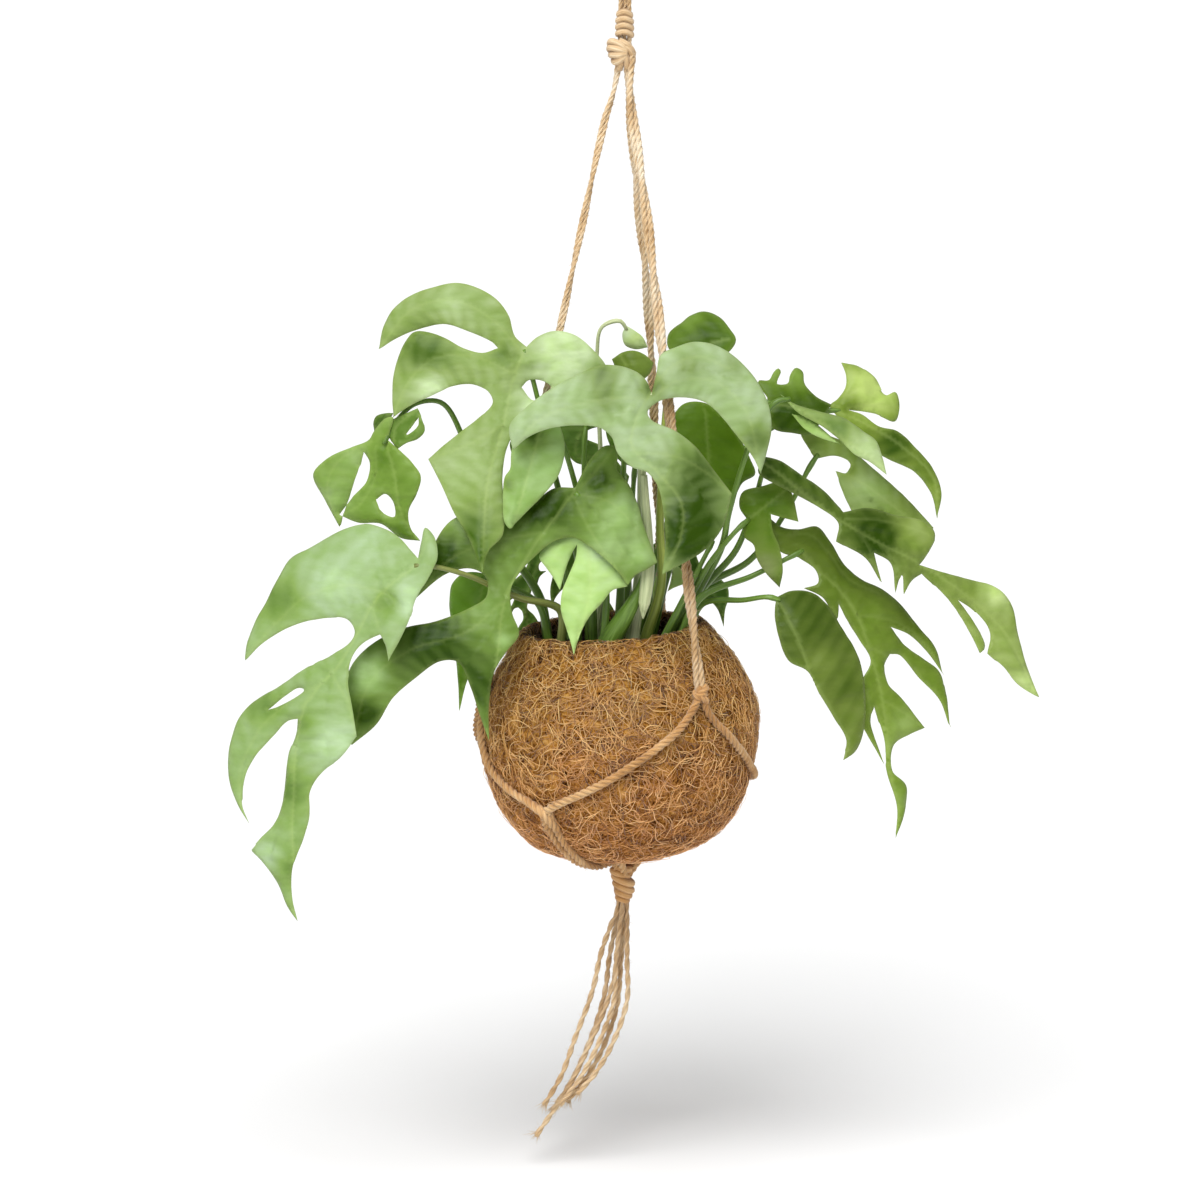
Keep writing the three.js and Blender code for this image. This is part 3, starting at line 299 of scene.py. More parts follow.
class Look:
    """A material, with short ways to add and join its nodes."""

    def __init__(self, name, roughness, specular, sheen=0):
        self.material = bpy.data.materials.new(name)
        self.material.use_nodes = True
        self.nodes = self.material.node_tree.nodes
        self.shader = self.nodes["Principled BSDF"]
        self.shader.inputs["Roughness"].default_value = roughness
        self.shader.inputs["Specular IOR Level"].default_value = specular
        self.shader.inputs["Sheen Weight"].default_value = sheen

    def join(self, output, socket):
        self.material.node_tree.links.new(output, socket)

    def feed(self, value, socket):
        """Joins an output to the socket, or sets the socket to a number or colour."""
        if hasattr(value, "is_output"):
            self.join(value, socket)
        else:
            socket.default_value = value

    def node(self, kind, **values):
        made = self.nodes.new(kind)
        for key, value in values.items():
            setattr(made, key, value)
        return made

    def attribute(self, name, output="Fac"):
        return self.node("ShaderNodeAttribute", attribute_name=name).outputs[output]

    def where(self):
        return self.node("ShaderNodeTexCoord").outputs["Object"]

    def stretch(self, source, scale):
        mapping = self.node("ShaderNodeMapping")
        mapping.inputs["Scale"].default_value = scale
        self.join(source, mapping.inputs["Vector"])
        return mapping.outputs["Vector"]

    def noise(self, source, scale, detail, roughness=0.55):
        made = self.node("ShaderNodeTexNoise")
        made.inputs["Scale"].default_value = scale
        made.inputs["Detail"].default_value = detail
        made.inputs["Roughness"].default_value = roughness
        self.join(source, made.inputs["Vector"])
        return made.outputs["Fac"]

    def ramp(self, source, stops):
        """Shades along a scale: each stop is a place from 0 to 1 and a display or linear colour."""
        made = self.node("ShaderNodeValToRGB")
        elements = made.color_ramp.elements
        while len(elements) < len(stops):
            elements.new(0.5)
        for element, (position, shade) in zip(elements, stops):
            element.position = position
            element.color = colour(shade) if isinstance(shade, int) else shade
        self.join(source, made.inputs["Fac"])
        return made.outputs["Color"]

    def mix(self, share, first, second, blend="MIX"):
        made = self.node("ShaderNodeMix", data_type="RGBA", blend_type=blend)
        self.feed(share, made.inputs[0])
        self.feed(first, made.inputs[6])
        self.feed(second, made.inputs[7])
        return made.outputs[2]

    def math(self, operation, first, second):
        made = self.node("ShaderNodeMath", operation=operation)
        self.feed(first, made.inputs[0])
        self.feed(second, made.inputs[1])
        return made.outputs[0]

    def plus(self, first, second):
        return self.math("ADD", first, second)

    def minus(self, first, second):
        return self.math("SUBTRACT", first, second)

    def times(self, first, second):
        return self.math("MULTIPLY", first, second)

    def bump(self, height, distance, strength=1.0):
        made = self.node("ShaderNodeBump")
        made.inputs["Distance"].default_value = distance
        made.inputs["Strength"].default_value = strength
        self.join(height, made.inputs["Height"])
        self.join(made.outputs["Normal"], self.shader.inputs["Normal"])

    def paint(self, output):
        self.join(output, self.shader.inputs["Base Color"])

    def let_light_through(self, output, share):
        """Thin tissue: part of the light that falls on one face leaves by the other."""
        through = self.node("ShaderNodeBsdfTranslucent")
        mixed = self.node("ShaderNodeMixShader")
        mixed.inputs[0].default_value = share
        self.join(output, through.inputs["Color"])
        self.join(self.shader.outputs[0], mixed.inputs[1])
        self.join(through.outputs[0], mixed.inputs[2])
        self.join(mixed.outputs[0], self.nodes["Material Output"].inputs["Surface"])


def jute_look(name, dark, middle, pale):
    """Spun jute: pale and brown fibres drawn out along each ply."""
    look = Look(name, roughness=0.85, specular=0.25, sheen=0.3)
    streaks = look.noise(look.stretch(look.attribute("strand", "Vector"), (90, 2600, 2600)), 1, 5, 0.6)
    patches = look.noise(look.where(), 45, 3)
    mixed = look.times(look.plus(streaks, patches), 0.5)
    base = look.ramp(mixed, [(0.36, dark), (0.48, middle), (0.62, pale)])
    # tone paints shade: it is low between plies, in the creases of knots and wraps and on the hearts under
    # their turns. It is also lower on the legs toward the pot, and differs at random on stray fibres.
    painted_shade_and_brown = look.times(look.minus(1.0, look.attribute("tone")), 0.8)
    look.paint(look.mix(painted_shade_and_brown, base, colour(dark)))
    look.bump(streaks, 0.0006, 0.8)
    return look.material


def coir_fibre_look():
    """Single coir fibres: brown to straw, each with its own tone, which is lower inside the mouth as
    painted shade.
    """
    look = Look("coir_fibre", roughness=0.62, specular=0.35, sheen=0.25)
    flecks = look.noise(look.where(), 900, 2)
    value = look.plus(look.attribute("tone"), look.times(flecks, 0.25))
    stops = [(0.1, 0x4E2E0E), (0.35, 0x8E5F2A), (0.6, 0xBE8E50), (0.85, 0xDAB076), (1.0, 0xEBCB98)]
    look.paint(coir_tint_and_floor_light(look, look.ramp(value, stops)))
    return look.material


def coir_tint_and_floor_light(look, base):
    """The pot is a little greener toward its rim and redder below, and painted brighter below, as light
    thrown up from the floor.
    """
    split = look.node("ShaderNodeSeparateXYZ")
    look.join(look.where(), split.inputs[0])
    height = look.times(look.plus(split.outputs["Z"], -POT_CENTRE[2] * MM), 1 / (70 * MM))
    drift = look.times(look.minus(look.noise(look.where(), 30, 2), 0.5), 1.6)
    share = look.times(look.plus(height, drift), 0.5)
    # Tints above 1 paint the lower pot brighter, as light thrown up from the floor.
    red, brown, olive = (1.22, 1.02, 0.88, 1), (1.08, 0.97, 0.72, 1), (0.92, 0.88, 0.58, 1)
    tint = look.ramp(look.plus(share, 0.5), [(0.1, red), (0.5, brown), (0.9, olive)])
    return look.mix(1.0, base, tint, "MULTIPLY")


def coir_mat_look():
    """The felted mat under the loose fibres: pits, clumps and short matted hair."""
    look = Look("coir_mat", roughness=0.95, specular=0.15)
    where = look.where()
    clumps = look.noise(where, 130, 6, 0.7)
    matted = look.noise(where, 700, 5, 0.7)
    mixed = look.times(look.plus(clumps, matted), 0.5)
    stops = [(0.4, 0x341D06), (0.46, 0x80541F), (0.54, 0xB98A4A), (0.66, 0xE2BE86)]
    base = coir_tint_and_floor_light(look, look.ramp(mixed, stops))
    # Painted shade: where its tone is low, inside the mouth, the mat goes to near black.
    look.paint(look.mix(look.attribute("tone"), colour(0x1C1006), base))
    look.bump(mixed, 0.0035)
    return look.material


def soil_look():
    look = Look("soil_crumb", roughness=1, specular=0.2)
    grain = look.noise(look.where(), 420, 6, 0.7)
    look.paint(look.ramp(grain, [(0.35, 0x140D08), (0.55, 0x2F2218), (0.75, 0x5A4632)]))
    look.bump(grain, 0.002)
    return look.material


def blade_look(name, pale_shade, deep_shade, underside):
    """A leaf's satin skin: green is 0 where it is pale, less under a painted highlight and 1 where
    it is deep green, and it carries painted light and shade. tone is 1 on its veins and edge."""
    look = Look(name, roughness=0.55 if underside else 0.36, specular=0.15)
    where = look.where()
    wander = look.times(look.minus(look.noise(where, 34, 2), 0.5), 0.24)
    depth = look.plus(look.attribute("green"), wander)
    share = look.plus(look.times(depth, 0.8), 0.2)
    pale, deep = colour(pale_shade), colour(deep_shade)
    # The stop below pale is a painted highlight.
    painted_highlight = [min(1, 1.22 * part + 0.01) for part in pale]
    middle = [(a + b) / 2 * part for a, b, part in zip(pale, deep, (0.96, 1, 0.62, 1))]
    base = look.ramp(share, [(0.0, painted_highlight), (0.2, pale), (0.6, middle), (1.0, deep)])
    darker = look.mix(1.0, base, (0.85, 0.91, 0.7, 1), "MULTIPLY")
    paler = look.mix(0.5 if underside else 0.3, base, (0.55, 0.7, 0.22, 1))
    streaks = look.noise(look.stretch(where, (70, 70, 140)), 1, 3, 0.5)
    base = look.mix(look.ramp(streaks, [(0.36, 0x000000), (0.6, 0xFFFFFF)]), darker, base)
    # Veins are paler in their own colour; the pale line along the edge is partly the leaf's own colour and
    # partly a painted highlight.
    painted = look.mix(look.times(look.attribute("tone"), 0.75), base, paler)
    look.paint(painted)
    look.bump(look.noise(look.stretch(where, (50, 50, 120)), 1, 2, 0.45), 0.0024, 0.9)
    look.let_light_through(painted, 0.2)
    return look.material


def stalk_look(name, shade):
    look = Look(name, roughness=0.42, specular=0.5)
    lines = look.noise(look.stretch(look.attribute("strand", "Vector"), (30, 900, 900)), 1, 3)
    red, green, blue, _ = colour(shade)
    pale = [min(1, part * 1.35 + 0.03) for part in (red, green, blue)] + [1]
    deep = [red * 0.55, green * 0.6, blue * 0.5, 1]
    look.paint(look.ramp(lines, [(0.3, deep), (0.55, shade), (0.75, pale)]))
    look.bump(lines, 0.0003, 0.5)
    return look.material


JUTE = jute_look("jute_rope", 0xA67C45, 0xEACB9E, 0xFBEFD6)
# The net, its knots and the base ropes on the pot are browner: partly the jute's own colour, partly
# painted shade and the brown light the coir throws on them.
JUTE_NET_SHADED = jute_look("jute_net_shaded", 0x8C5F30, 0xCB985C, 0xECC793)
JUTE_TASSEL = jute_look("jute_tassel", 0x9C7850, 0xD4B285, 0xEFDAB6)
JUTE_FUZZ = jute_look("jute_fuzz", 0xB58C58, 0xDDBE8E, 0xF2DFBB)


# The pot. Its own frame has the origin at the widest level, and leans with the tilt.

POT_CENTRE = place(617.5, 717, 0)
POT_CENTRE[0] = POT_AXIS_X
# Radius and height, from the middle of the bottom up the outside, then over the rim.
POT_OUTLINE = [
    [0, -68.4], [26, -67.4], [45.4, -59.4], [59, -43.2], [66.6, -21], [68.6, -2], [65.2, 12],
    [58.4, 26], [50.6, 37.5], [46.2, POT_RIM_HEIGHT - 1],
]
POT_MOUTH = [[44, POT_RIM_HEIGHT + 0.4], [42, POT_RIM_HEIGHT - 0.6], [41.2, 39], [47, 31]]
POT_SIDE = spline(POT_OUTLINE, 0.5)
POT_SKIN = spline(POT_OUTLINE + POT_MOUTH, 0.5)


def to_world(points):
    """Points of the pot's frame as points of the object's."""
    points = np.asarray(points, float)
    c, s = math.cos(POT_TILT), math.sin(POT_TILT)
    x, y, z = points[..., 0], points[..., 1], points[..., 2]
    return np.stack([x * c + z * s, y, z * c - x * s], axis=-1) + POT_CENTRE


def pot_wobble(angle, height):
    return 0.9 * np.sin(3 * angle + 0.6) * np.cos(height / 40) + 0.5 * np.sin(5 * angle + height / 18)


def pot_radius(height):
    return np.interp(height, POT_SIDE[:, 1], POT_SIDE[:, 0])


def around(degrees):
    """Direction round the pot: 0 degrees is the front, 90 the right."""
    angle = np.radians(degrees)
    return np.stack([np.sin(angle), -np.cos(angle), np.zeros_like(angle)], axis=-1)


def on_pot(degrees, height, lift):
    """A point above the pot's outside."""
    out = around(degrees)
    slope = (pot_radius(height + 1) - pot_radius(height - 1)) / 2
    normal = unit(out - np.array([0, 0, slope]))
    radius = pot_radius(height) + pot_wobble(math.atan2(out[1], out[0]), height)
    return to_world(out * radius + np.array([0, 0, height]) + normal * lift)


# The hanger: where its knots and ropes lie. A place on the pot is degrees round it and a height.

SHOULDERS = {"left": (-82, 22), "front": (37.4, 16.6), "rear": (158, 16)}
LOWER = {"left": (-34.5, -33), "right": (119, -38), "rear": (-135, -36)}
BOTTOM_KNOT = place(622, 869, 0) - np.array([0, 0, 8.5])
BOTTOM_KNOT_LENGTH = 18
TOP_KNOT = np.array([-1, 0, TOP_KNOT_HEIGHT])
# Each leg: x and y of its start in the top knot, where it passes, and the thickness of its rope.
LEGS = {
    "left": ((-2.2, 0), [(614, 90, 0), (605, 120, -0.5), (579, 240, -1.5)], 2.4),
    "front": ((2.2, -2.6), [(630.5, 100, -5), (644.5, 200, -14)], 3.5),
    "rear": ((1.4, 3.4), [(629.5, 100, 7), (638, 200, 18), (647, 290, 29)], 3.2),
}
# Each net rope: its shoulder knot, its lower knot and the places between them.
NET = {
    "net_front_left": (
        "front", "left", [(32, 10), (24, 2.6), (15.3, -3.6), (7, -9.4), (-8, -19.2), (-24, -27.6)]),
    "net_front_right": (
        "front", "right", [(41, 7), (50, -4.5), (60, -15), (74, -26), (90, -32.5), (107, -36.5)]),
    "net_left_front": (
        "left", "left", [(-77, 12), (-77, 3), (-74, -6), (-69.5, -14), (-61.5, -21), (-49.5, -27)]),
    "net_left_rear": ("left", "rear", [(-91, 10), (-101, -7), (-115, -23), (-127, -31.5)]),
    "net_rear_left": ("rear", "rear", [(166, 6), (178, -8), (193, -20), (208, -29.5)]),
    "net_rear_right": ("rear", "right", [(152, 6), (146, -7), (139, -19), (131, -30)]),
}
# Each tassel strand: x and y of its start in the bottom knot, and where it passes.
TASSEL = [
    ((-3, -0.9), [(611, 925, -2), (601, 953, -3.4), (592, 992, -3.4), (575, 1038, -3.4),
                  (561, 1076, -3.4), (544, 1105, -3.4)]),
    ((-1.9, 2.6), [(616, 925, 3.2), (610, 953, 3.4), (604, 996, 3.4), (590, 1040, 3.4),
                   (572, 1080, 3.4), (553, 1109, 3.4)]),
    ((0, 0), [(620, 925, 0), (617, 965, 0), (606, 1005, 0), (591, 1041, 0), (569, 1086, 0),
              (536, 1136, 0)]),
    ((0, -3.3), [(620, 925, -3.6), (616, 960, -3.4), (614, 1000, -3.4), (600, 1040, -3.4),
                 (582, 1075, -3.4), (560, 1105, -3.4)]),
    ((3, -1.1), [(627, 925, -2.6), (627, 960, -3.4), (627, 1000, -3.4), (614, 1040, -3.4),
                 (596, 1072, -3.4), (577, 1094, -3.4)]),
    ((1.9, 2.6), [(624, 925, 3.2), (621, 960, 3.4), (617, 1005, 3.4), (604, 1045, 3.4),
                  (588, 1075, 3.4), (567, 1102, 3.4)]),
]
# The middle line and radius of every rope made, for its stray fibres.
ROPE_LINES = []


def rope(bag, line, radius, width, pitch, turn, **shape):
    """A cord that will get stray fibres. Its width is given in radii."""
    cord(bag, line, width * radius, pitch, turn, **shape)
    ROPE_LINES.append((line, radius))


def tie(bag, name, look, ending="_rope"):
    """The finished rope, in place of the node of that name."""
    return bag.piece(name + ending, [look], "jute", [name])


def make_tassel():
    for index, ((x, y), way) in enumerate(TASSEL):
        top = BOTTOM_KNOT + np.array([0.6 * x, 0.6 * y, 4 - BOTTOM_KNOT_LENGTH / 2])
        below = BOTTOM_KNOT + np.array([0.8 * x, 0.8 * y, -4 - BOTTOM_KNOT_LENGTH / 2])
        line = spline([top, below, *[place(*point) for point in way]], 1.0)
        bag = Bag()
        rope(bag, line, TASSEL_DIAMETER / 2, width=2, pitch=15, turn=index * 1.1, plies=2, sides=7)
        strand = tie(bag, f"tassel_{index + 1}", JUTE_TASSEL)


make_tassel()


def shoulder_place(side):
    """The middle of a shoulder knot, and its axes: sideways, outward and up."""
    degrees, height = SHOULDERS[side]
    out = around(degrees)
    centre = on_pot(degrees, height, KNOT_LIFT)
    return centre, np.stack([np.cross(out, [0, 0, 1]), out, [0, 0, 1]])


def add_heart(bag, centre, axes, size):
    """The full middle of a knot, under its turns."""
    rows, columns = 9, 14
    polar = np.linspace(0, math.pi, rows)[:, None]
    turn = ring_angles(columns)[None, :]
    ball = [np.sin(polar) * np.cos(turn), np.sin(polar) * np.sin(turn), np.cos(polar)]
    ball = np.stack(np.broadcast_arrays(*ball), axis=-1)
    # The heart's low tone paints it darker, as shade under the turns.
    bag.add(centre + (ball * size) @ axes, ring_triangles(rows, columns)[:, ::-1], None, 0.35)


# The turns of a shoulder knot: radius, half thickness, slant in degrees, z, and depth over width.
SHOULDER_TURNS = [(2.9, 1.8, 38, 1.7, 0.85), (2.9, 1.8, -32, -2, 0.85), (2.4, 1.5, 8, 0, 0.9)]


def make_shoulder_knots():
    for side in SHOULDERS:
        centre, axes = shoulder_place(side)
        bag = Bag()
        add_heart(bag, centre, axes, [3, 2.6, 4.4])
        for radius, thickness, tilt, z, depth in SHOULDER_TURNS:
            angle, tilt = ring_angles(40), math.radians(tilt)
            x, y = radius * np.cos(angle), radius * depth * np.sin(angle)
            ring = np.stack([x * math.cos(tilt), y, z - x * math.sin(tilt)], axis=-1)
            line = centre + np.vstack([ring, ring[:1]]) @ axes
            rope(bag, line, thickness, width=2, pitch=11, turn=z, sides=7)
        tie(bag, f"shoulder_knot_{side}", JUTE_NET_SHADED)


def make_lower_knot(side):
    """Where two net ropes meet low on the pot, they cross and run down side by side."""
    degrees, height = LOWER[side]
    ways = [way for _, lower, way in NET.values() if lower == side]
    lift = NET_ROPE_RADIUS
    if abs(ways[0][-1][0] - degrees) > 180:
        ways[0] = [(angle - 360, level) for angle, level in ways[0]]
    ways.sort(key=lambda way: way[-1][0])
    bag = Bag()
    for sign, way in zip((1, -1), ways):
        angle, level = way[-1]
        start = on_pot(0.7 * angle + 0.3 * degrees, 0.7 * level + 0.3 * (height + 2), lift)
        middle = on_pot(degrees, height - 1, lift + 1 + sign)
        low = on_pot(degrees + 3.1 * sign, height - 10, lift)
        line = spline([start, middle, low], 1.0)
        rope(bag, line, NET_ROPE_RADIUS, width=2.25, pitch=10.5, turn=sign, sides=8)
    tie(bag, f"lower_knot_{side}", JUTE_NET_SHADED)


# The top knot's folds of rope, from the knot's middle: x to the right, y toward the back, z up.
TOP_KNOT_FOLDS = [
    [(2, -4.6, 1.4), (-1.2, -5.2, 4.2), (-5.2, -3.4, 5.6), (-6, 0.8, 4.2), (-2, 4.2, 3), (2.6, 3.6, 3)],
    [(2.1, -4.8, 0.6), (-2.2, -5.6, 2), (-6, -2.8, 2.6), (-5.8, 1.4, 1.4), (-1.5, 4.6, 0.6),
     (3, 3.6, 0.6)],
    [(2, -4.8, 0), (-1.9, -5.6, -0.8), (-5, -3, -0.8), (-5.2, 1.2, -1), (-1.4, 4.4, -1.4),
     (3, 3.4, -1.4)],
    [(1.8, -4.6, -0.6), (-1.2, -5, -3.2), (-3.6, -2.8, -4.2), (-4, 1.2, -3.4), (-1, 4, -3.4),
     (2.6, 3, -3.2)],
    [(-1.4, -3.6, 5.8), (1.8, -4.6, 4.2), (4, -3, 1.8), (4.8, 0.6, -1), (2.4, 3.8, -2)],
    [(0.6, -4.4, 4), (2.9, -4.4, 1.8), (4.6, -2.4, -1.6), (4.4, 0.4, -4.8), (2, 2.8, -5)],
    [(1.4, -3.8, -0.6), (1.9, -4.4, -3.2), (2.2, -3.2, -7.4)],
    [(0.6, -2.8, -1.4), (-0.4, -3.4, -4), (-1.6, -2, -8)],
]

# The turns of the bottom knot: radius, half thickness, slant in degrees, x and z from its middle.
BOTTOM_KNOT_TURNS = [
    (3.4, 1.8, 12, 0.4, 9.4), (3.5, 1.9, 20, -0.9, 6.6), (4.1, 2.0, 24, 0.5, 3.2),
    (3.8, 1.9, 26, 0.7, -0.3), (2.9, 1.8, 24, 0.6, -3.6), (2.2, 1.6, 20, 0.2, -6.6),
]


def make_top_knot():
    bag = Bag()
    add_heart(bag, TOP_KNOT, np.eye(3), [3.8, 3.8, 5.2])
    for fold in TOP_KNOT_FOLDS:
        line = TOP_KNOT + spline(fold, 0.9)
        tube(bag, line, 1.5, 12, squash=1.15, heart=TOP_KNOT)
        ROPE_LINES.append((line, 1.5))
    tie(bag, "top_knot", JUTE_TASSEL)


def make_bottom_knot():
    bag = Bag()
    add_heart(bag, BOTTOM_KNOT, np.eye(3), [4.2, 4.2, 8.6])
    for radius, thickness, tilt, x, z in BOTTOM_KNOT_TURNS:
        angle = np.linspace(0, FULL_TURN, 40)
        across = radius * np.cos(angle)
        sink = across * math.tan(math.radians(tilt))
        line = BOTTOM_KNOT + [x, 0, z] + np.stack([across, radius * np.sin(angle), -sink], axis=-1)
        tube(bag, line, thickness, 12, heart=BOTTOM_KNOT + [x, 0, z])
        ROPE_LINES.append((line, thickness))
    tie(bag, "bottom_knot", JUTE_NET_SHADED)


def make_loop():
    points = [
        (-1.15, WRAP_BOTTOM), (-1.15, WRAP_TOP - 5), (-1.2, WRAP_TOP + 8), (-LOOP_HALF_WIDTH + 2, -28),
        (-LOOP_HALF_WIDTH, -14), (-7.5, -3), (0, LOOP_STRAND_RADIUS), (7.5, -3), (LOOP_HALF_WIDTH, -14),
        (LOOP_HALF_WIDTH - 2, -28), (2.3, WRAP_TOP + 8), (2.2, WRAP_TOP - 5), (2.2, WRAP_BOTTOM),
    ]
    line = spline([(x, 0, z) for x, z in points], 0.9)
    tangent = unit(np.gradient(line, axis=0))
    twist = np.linspace(0, math.pi / 2, len(line))[:, None]
    across = unit(tangent[:, [2, 1, 0]] * [1, 0, -1])
    side = across * np.cos(twist) + np.cross(tangent, across) * np.sin(twist)
    bag = Bag()
    for sign in (-1, 1):
        strand = line + side * sign * LOOP_STRAND_RADIUS
        rope(bag, strand, LOOP_STRAND_RADIUS, width=2.3, pitch=9, turn=sign)
    tie(bag, "hanging_loop", JUTE)


# The turns of the wrapped neck: radius, and how far below its top.
WRAP_RINGS = [(2.9, 1.5), (3.3, 4.6), (3.4, 7.7), (3.4, 10.8)]


def make_wrap():
    bag = Bag()
    angle = np.linspace(0, FULL_TURN, 36)
    for radius, drop in WRAP_RINGS:
        height = WRAP_TOP - drop
        sag = 0.7 * np.cos(2 * angle) + 0.3 * np.cos(angle)
        turn = np.stack([radius * np.cos(angle), radius * np.sin(angle), height - sag], axis=-1)
        tube(bag, turn, 1.3, 12, squash=1.3, heart=np.array([0, 0, height]))
        ROPE_LINES.append((turn, 1.25))
    tie(bag, "top_wrap", JUTE_TASSEL)


def make_legs():
    """Each leg is two ropes that turn round each other, browner toward the pot."""
    for side, (start, route, diameter) in LEGS.items():
        knot = shoulder_place(side)[0]
        points = [(*start, TOP_KNOT_HEIGHT - 1), *[place(*point) for point in route], knot]
        line = spline(points, 0.9)
        tangent = unit(np.gradient(line, axis=0))
        reference = unit(np.cross([0, 1, 0], unit(line[-1] - line[0])))
        level = unit(reference - tangent * (tangent @ reference)[:, None])
        clean = np.interp(line[:, 2], [knot[2], -150], [0.5, 1])
        turn = (0.4 + np.linspace(0, 1, len(line)) * LEG_TURNS * FULL_TURN)[:, None]
        across = level * np.cos(turn) + np.cross(tangent, level) * np.sin(turn)
        bag = Bag()
        for sign in (-1, 1):
            strand = line + across * sign * diameter * 0.35
            rope(bag, strand, diameter / 2, width=2, pitch=11, turn=sign, clean=clean)
        tie(bag, f"leg_{side}", JUTE)


def make_net():
    lift = NET_ROPE_RADIUS
    for name, (shoulder, lower, way) in NET.items():
        start, end = shoulder_place(shoulder)[0], on_pot(*LOWER[lower], lift + 0.6)
        line = spline([start, *[on_pot(degrees, height, lift) for degrees, height in way], end], 1.1)
        bag = Bag()
        rope(bag, line, NET_ROPE_RADIUS, width=2.1, pitch=10.5, turn=0.8, sides=8)
        tie(bag, name, JUTE_NET_SHADED)


# Radius and height of the base ropes under the pot.
UNDER_POT = [(30, -68.6), (17, -69.6), (8, -71.5)]


def make_base_ropes():
    lift = BASE_ROPE_RADIUS - 0.4
    for side, (degrees, height) in LOWER.items():
        start = on_pot(degrees, height, lift + 1)
        down = [on_pot(degrees, level, lift) for level in (height - 10, height - 17, -61)]
        under = [to_world(around(degrees) * radius + [0, 0, level]) for radius, level in UNDER_POT]
        line = spline([start, *down, *under, BOTTOM_KNOT + [0, 0, 3]], 1.1)
        across = around(degrees + 90)
        bag = Bag()
        for sign in (-1, 1):
            strand = line + across * sign * 1.25 * BASE_ROPE_RADIUS
            rope(bag, strand, BASE_ROPE_RADIUS, width=2.2, pitch=11, turn=1.5 + sign, sides=7)
        tie(bag, f"base_rope_{side}", JUTE_NET_SHADED, "_pair")


def make_rope_fuzz():
    """Stray fibres that stand out all along the ropes, and the frayed ends of the tassel."""
    rng = np.random.default_rng(7)
    bag = Bag()
    for line, radius in ROPE_LINES:
        tangent, side, up = frames(line)
        count = int(lengths(line)[-1] * 1.3)
        pick = rng.integers(0, len(line), count)
        angle = rng.uniform(0, FULL_TURN, count)[:, None]
        out = side[pick] * np.cos(angle) + up[pick] * np.sin(angle)
        lean = tangent[pick] * rng.uniform(-1.6, 1.6, count)[:, None]
        hairs(bag, line[pick] + out * radius * 0.7, out + lean, rng.uniform(1.0, 3.4, count), 0.06, rng)
    frayed = 26
    for line, _ in ROPE_LINES[:len(TASSEL)]:
        tangent, side, up = frames(line)
        spread = rng.normal(size=(frayed, 2)) * 0.5
        aside = side[-1] * spread[:, :1] + up[-1] * spread[:, 1:]
        roots = line[-1] + aside - tangent[-1] * 2
        hairs(bag, roots, tangent[-1] + aside * 0.8, rng.uniform(3, 7.5, frayed), 0.13, rng)
    bag.piece("rope_fuzz", [JUTE_FUZZ], "jute")


make_shoulder_knots()
for side in LOWER:
    make_lower_knot(side)
make_top_knot()
make_bottom_knot()
make_loop()
make_wrap()
make_legs()
make_net()
make_base_ropes()
make_rope_fuzz()


# The coir pot.

SKIN_LENGTH = lengths(POT_SKIN)
SKIN_NORMAL = unit(np.stack([np.gradient(POT_SKIN[:, 1]), -np.gradient(POT_SKIN[:, 0])], axis=-1))
RIM_ALONG = SKIN_LENGTH[POT_SKIN[:, 1].argmax()]


def skin_point(along, angle, lift):
    """A point over the pot's skin: along runs from the middle of the bottom over the rim into the
    mouth."""
    radius, height, out, rise = [
        np.interp(along, SKIN_LENGTH, values) for values in (*POT_SKIN.T, *SKIN_NORMAL.T)
    ]
    reach = radius + pot_wobble(angle, height) * np.minimum(1, radius / 40) + out * lift
    x, y, z = np.broadcast_arrays(reach * np.cos(angle), reach * np.sin(angle), height + rise * lift)
    return to_world(np.stack([x, y, z], axis=-1))


def lumps(points, coarse, fine, share):
    """How bumpy a surface is at its points: coarse lumps, and fine ones that are lower."""
    heights = [
        noise.noise(Vector(p) * coarse) + share * noise.noise(Vector(p) * fine)
        for p in points.reshape(-1, 3)
    ]
    return np.array(heights).reshape(points.shape[:2])


def mouth_shade_factor(along):
    """1 on the outside of the pot, and less inside its mouth, where it paints shade on the coir."""
    return np.interp(along, [RIM_ALONG - 2, RIM_ALONG + 4], [1, 0.06])


def make_pot():
    rows, columns = 130, 260
    along = np.linspace(0, SKIN_LENGTH[-1], rows)[:, None]
    angle = ring_angles(columns)[None, :]
    rough = lumps(skin_point(along, angle, 0), 0.16, 0.45, 0.6)
    points = skin_point(along, angle, rough * 0.9 - 0.5)
    bag = Bag()
    # The mat's tone is low inside the mouth, to paint shade there.
    bag.add(points, ring_triangles(rows, columns), None, mouth_shade_factor(along + 0 * angle).ravel())
    bag.piece("coir_pot_mat", [coir_mat_look()], "coir", ["coir_pot"])


# Layers of loose fibres: name, seed, number, steps and step length of each fibre, least and
# greatest width, least and greatest height over the skin, curl, and darkest and palest tone.
FIBRE_LAYERS = [
    ("coir_under_fibres", 11, 6400, 5, 2.7, (0.3, 0.62), (0.1, 0.8), 0.08, (0.0, 0.7)),
    ("coir_top_fibres", 12, 5200, 6, 2.5, (0.25, 0.55), (0.3, 1.2), 0.1, (0.2, 0.95)),
    ("coir_loose_fibres", 13, 900, 9, 2.8, (0.24, 0.42), (0.5, 2.0), 0.07, (0.5, 0.95)),
]


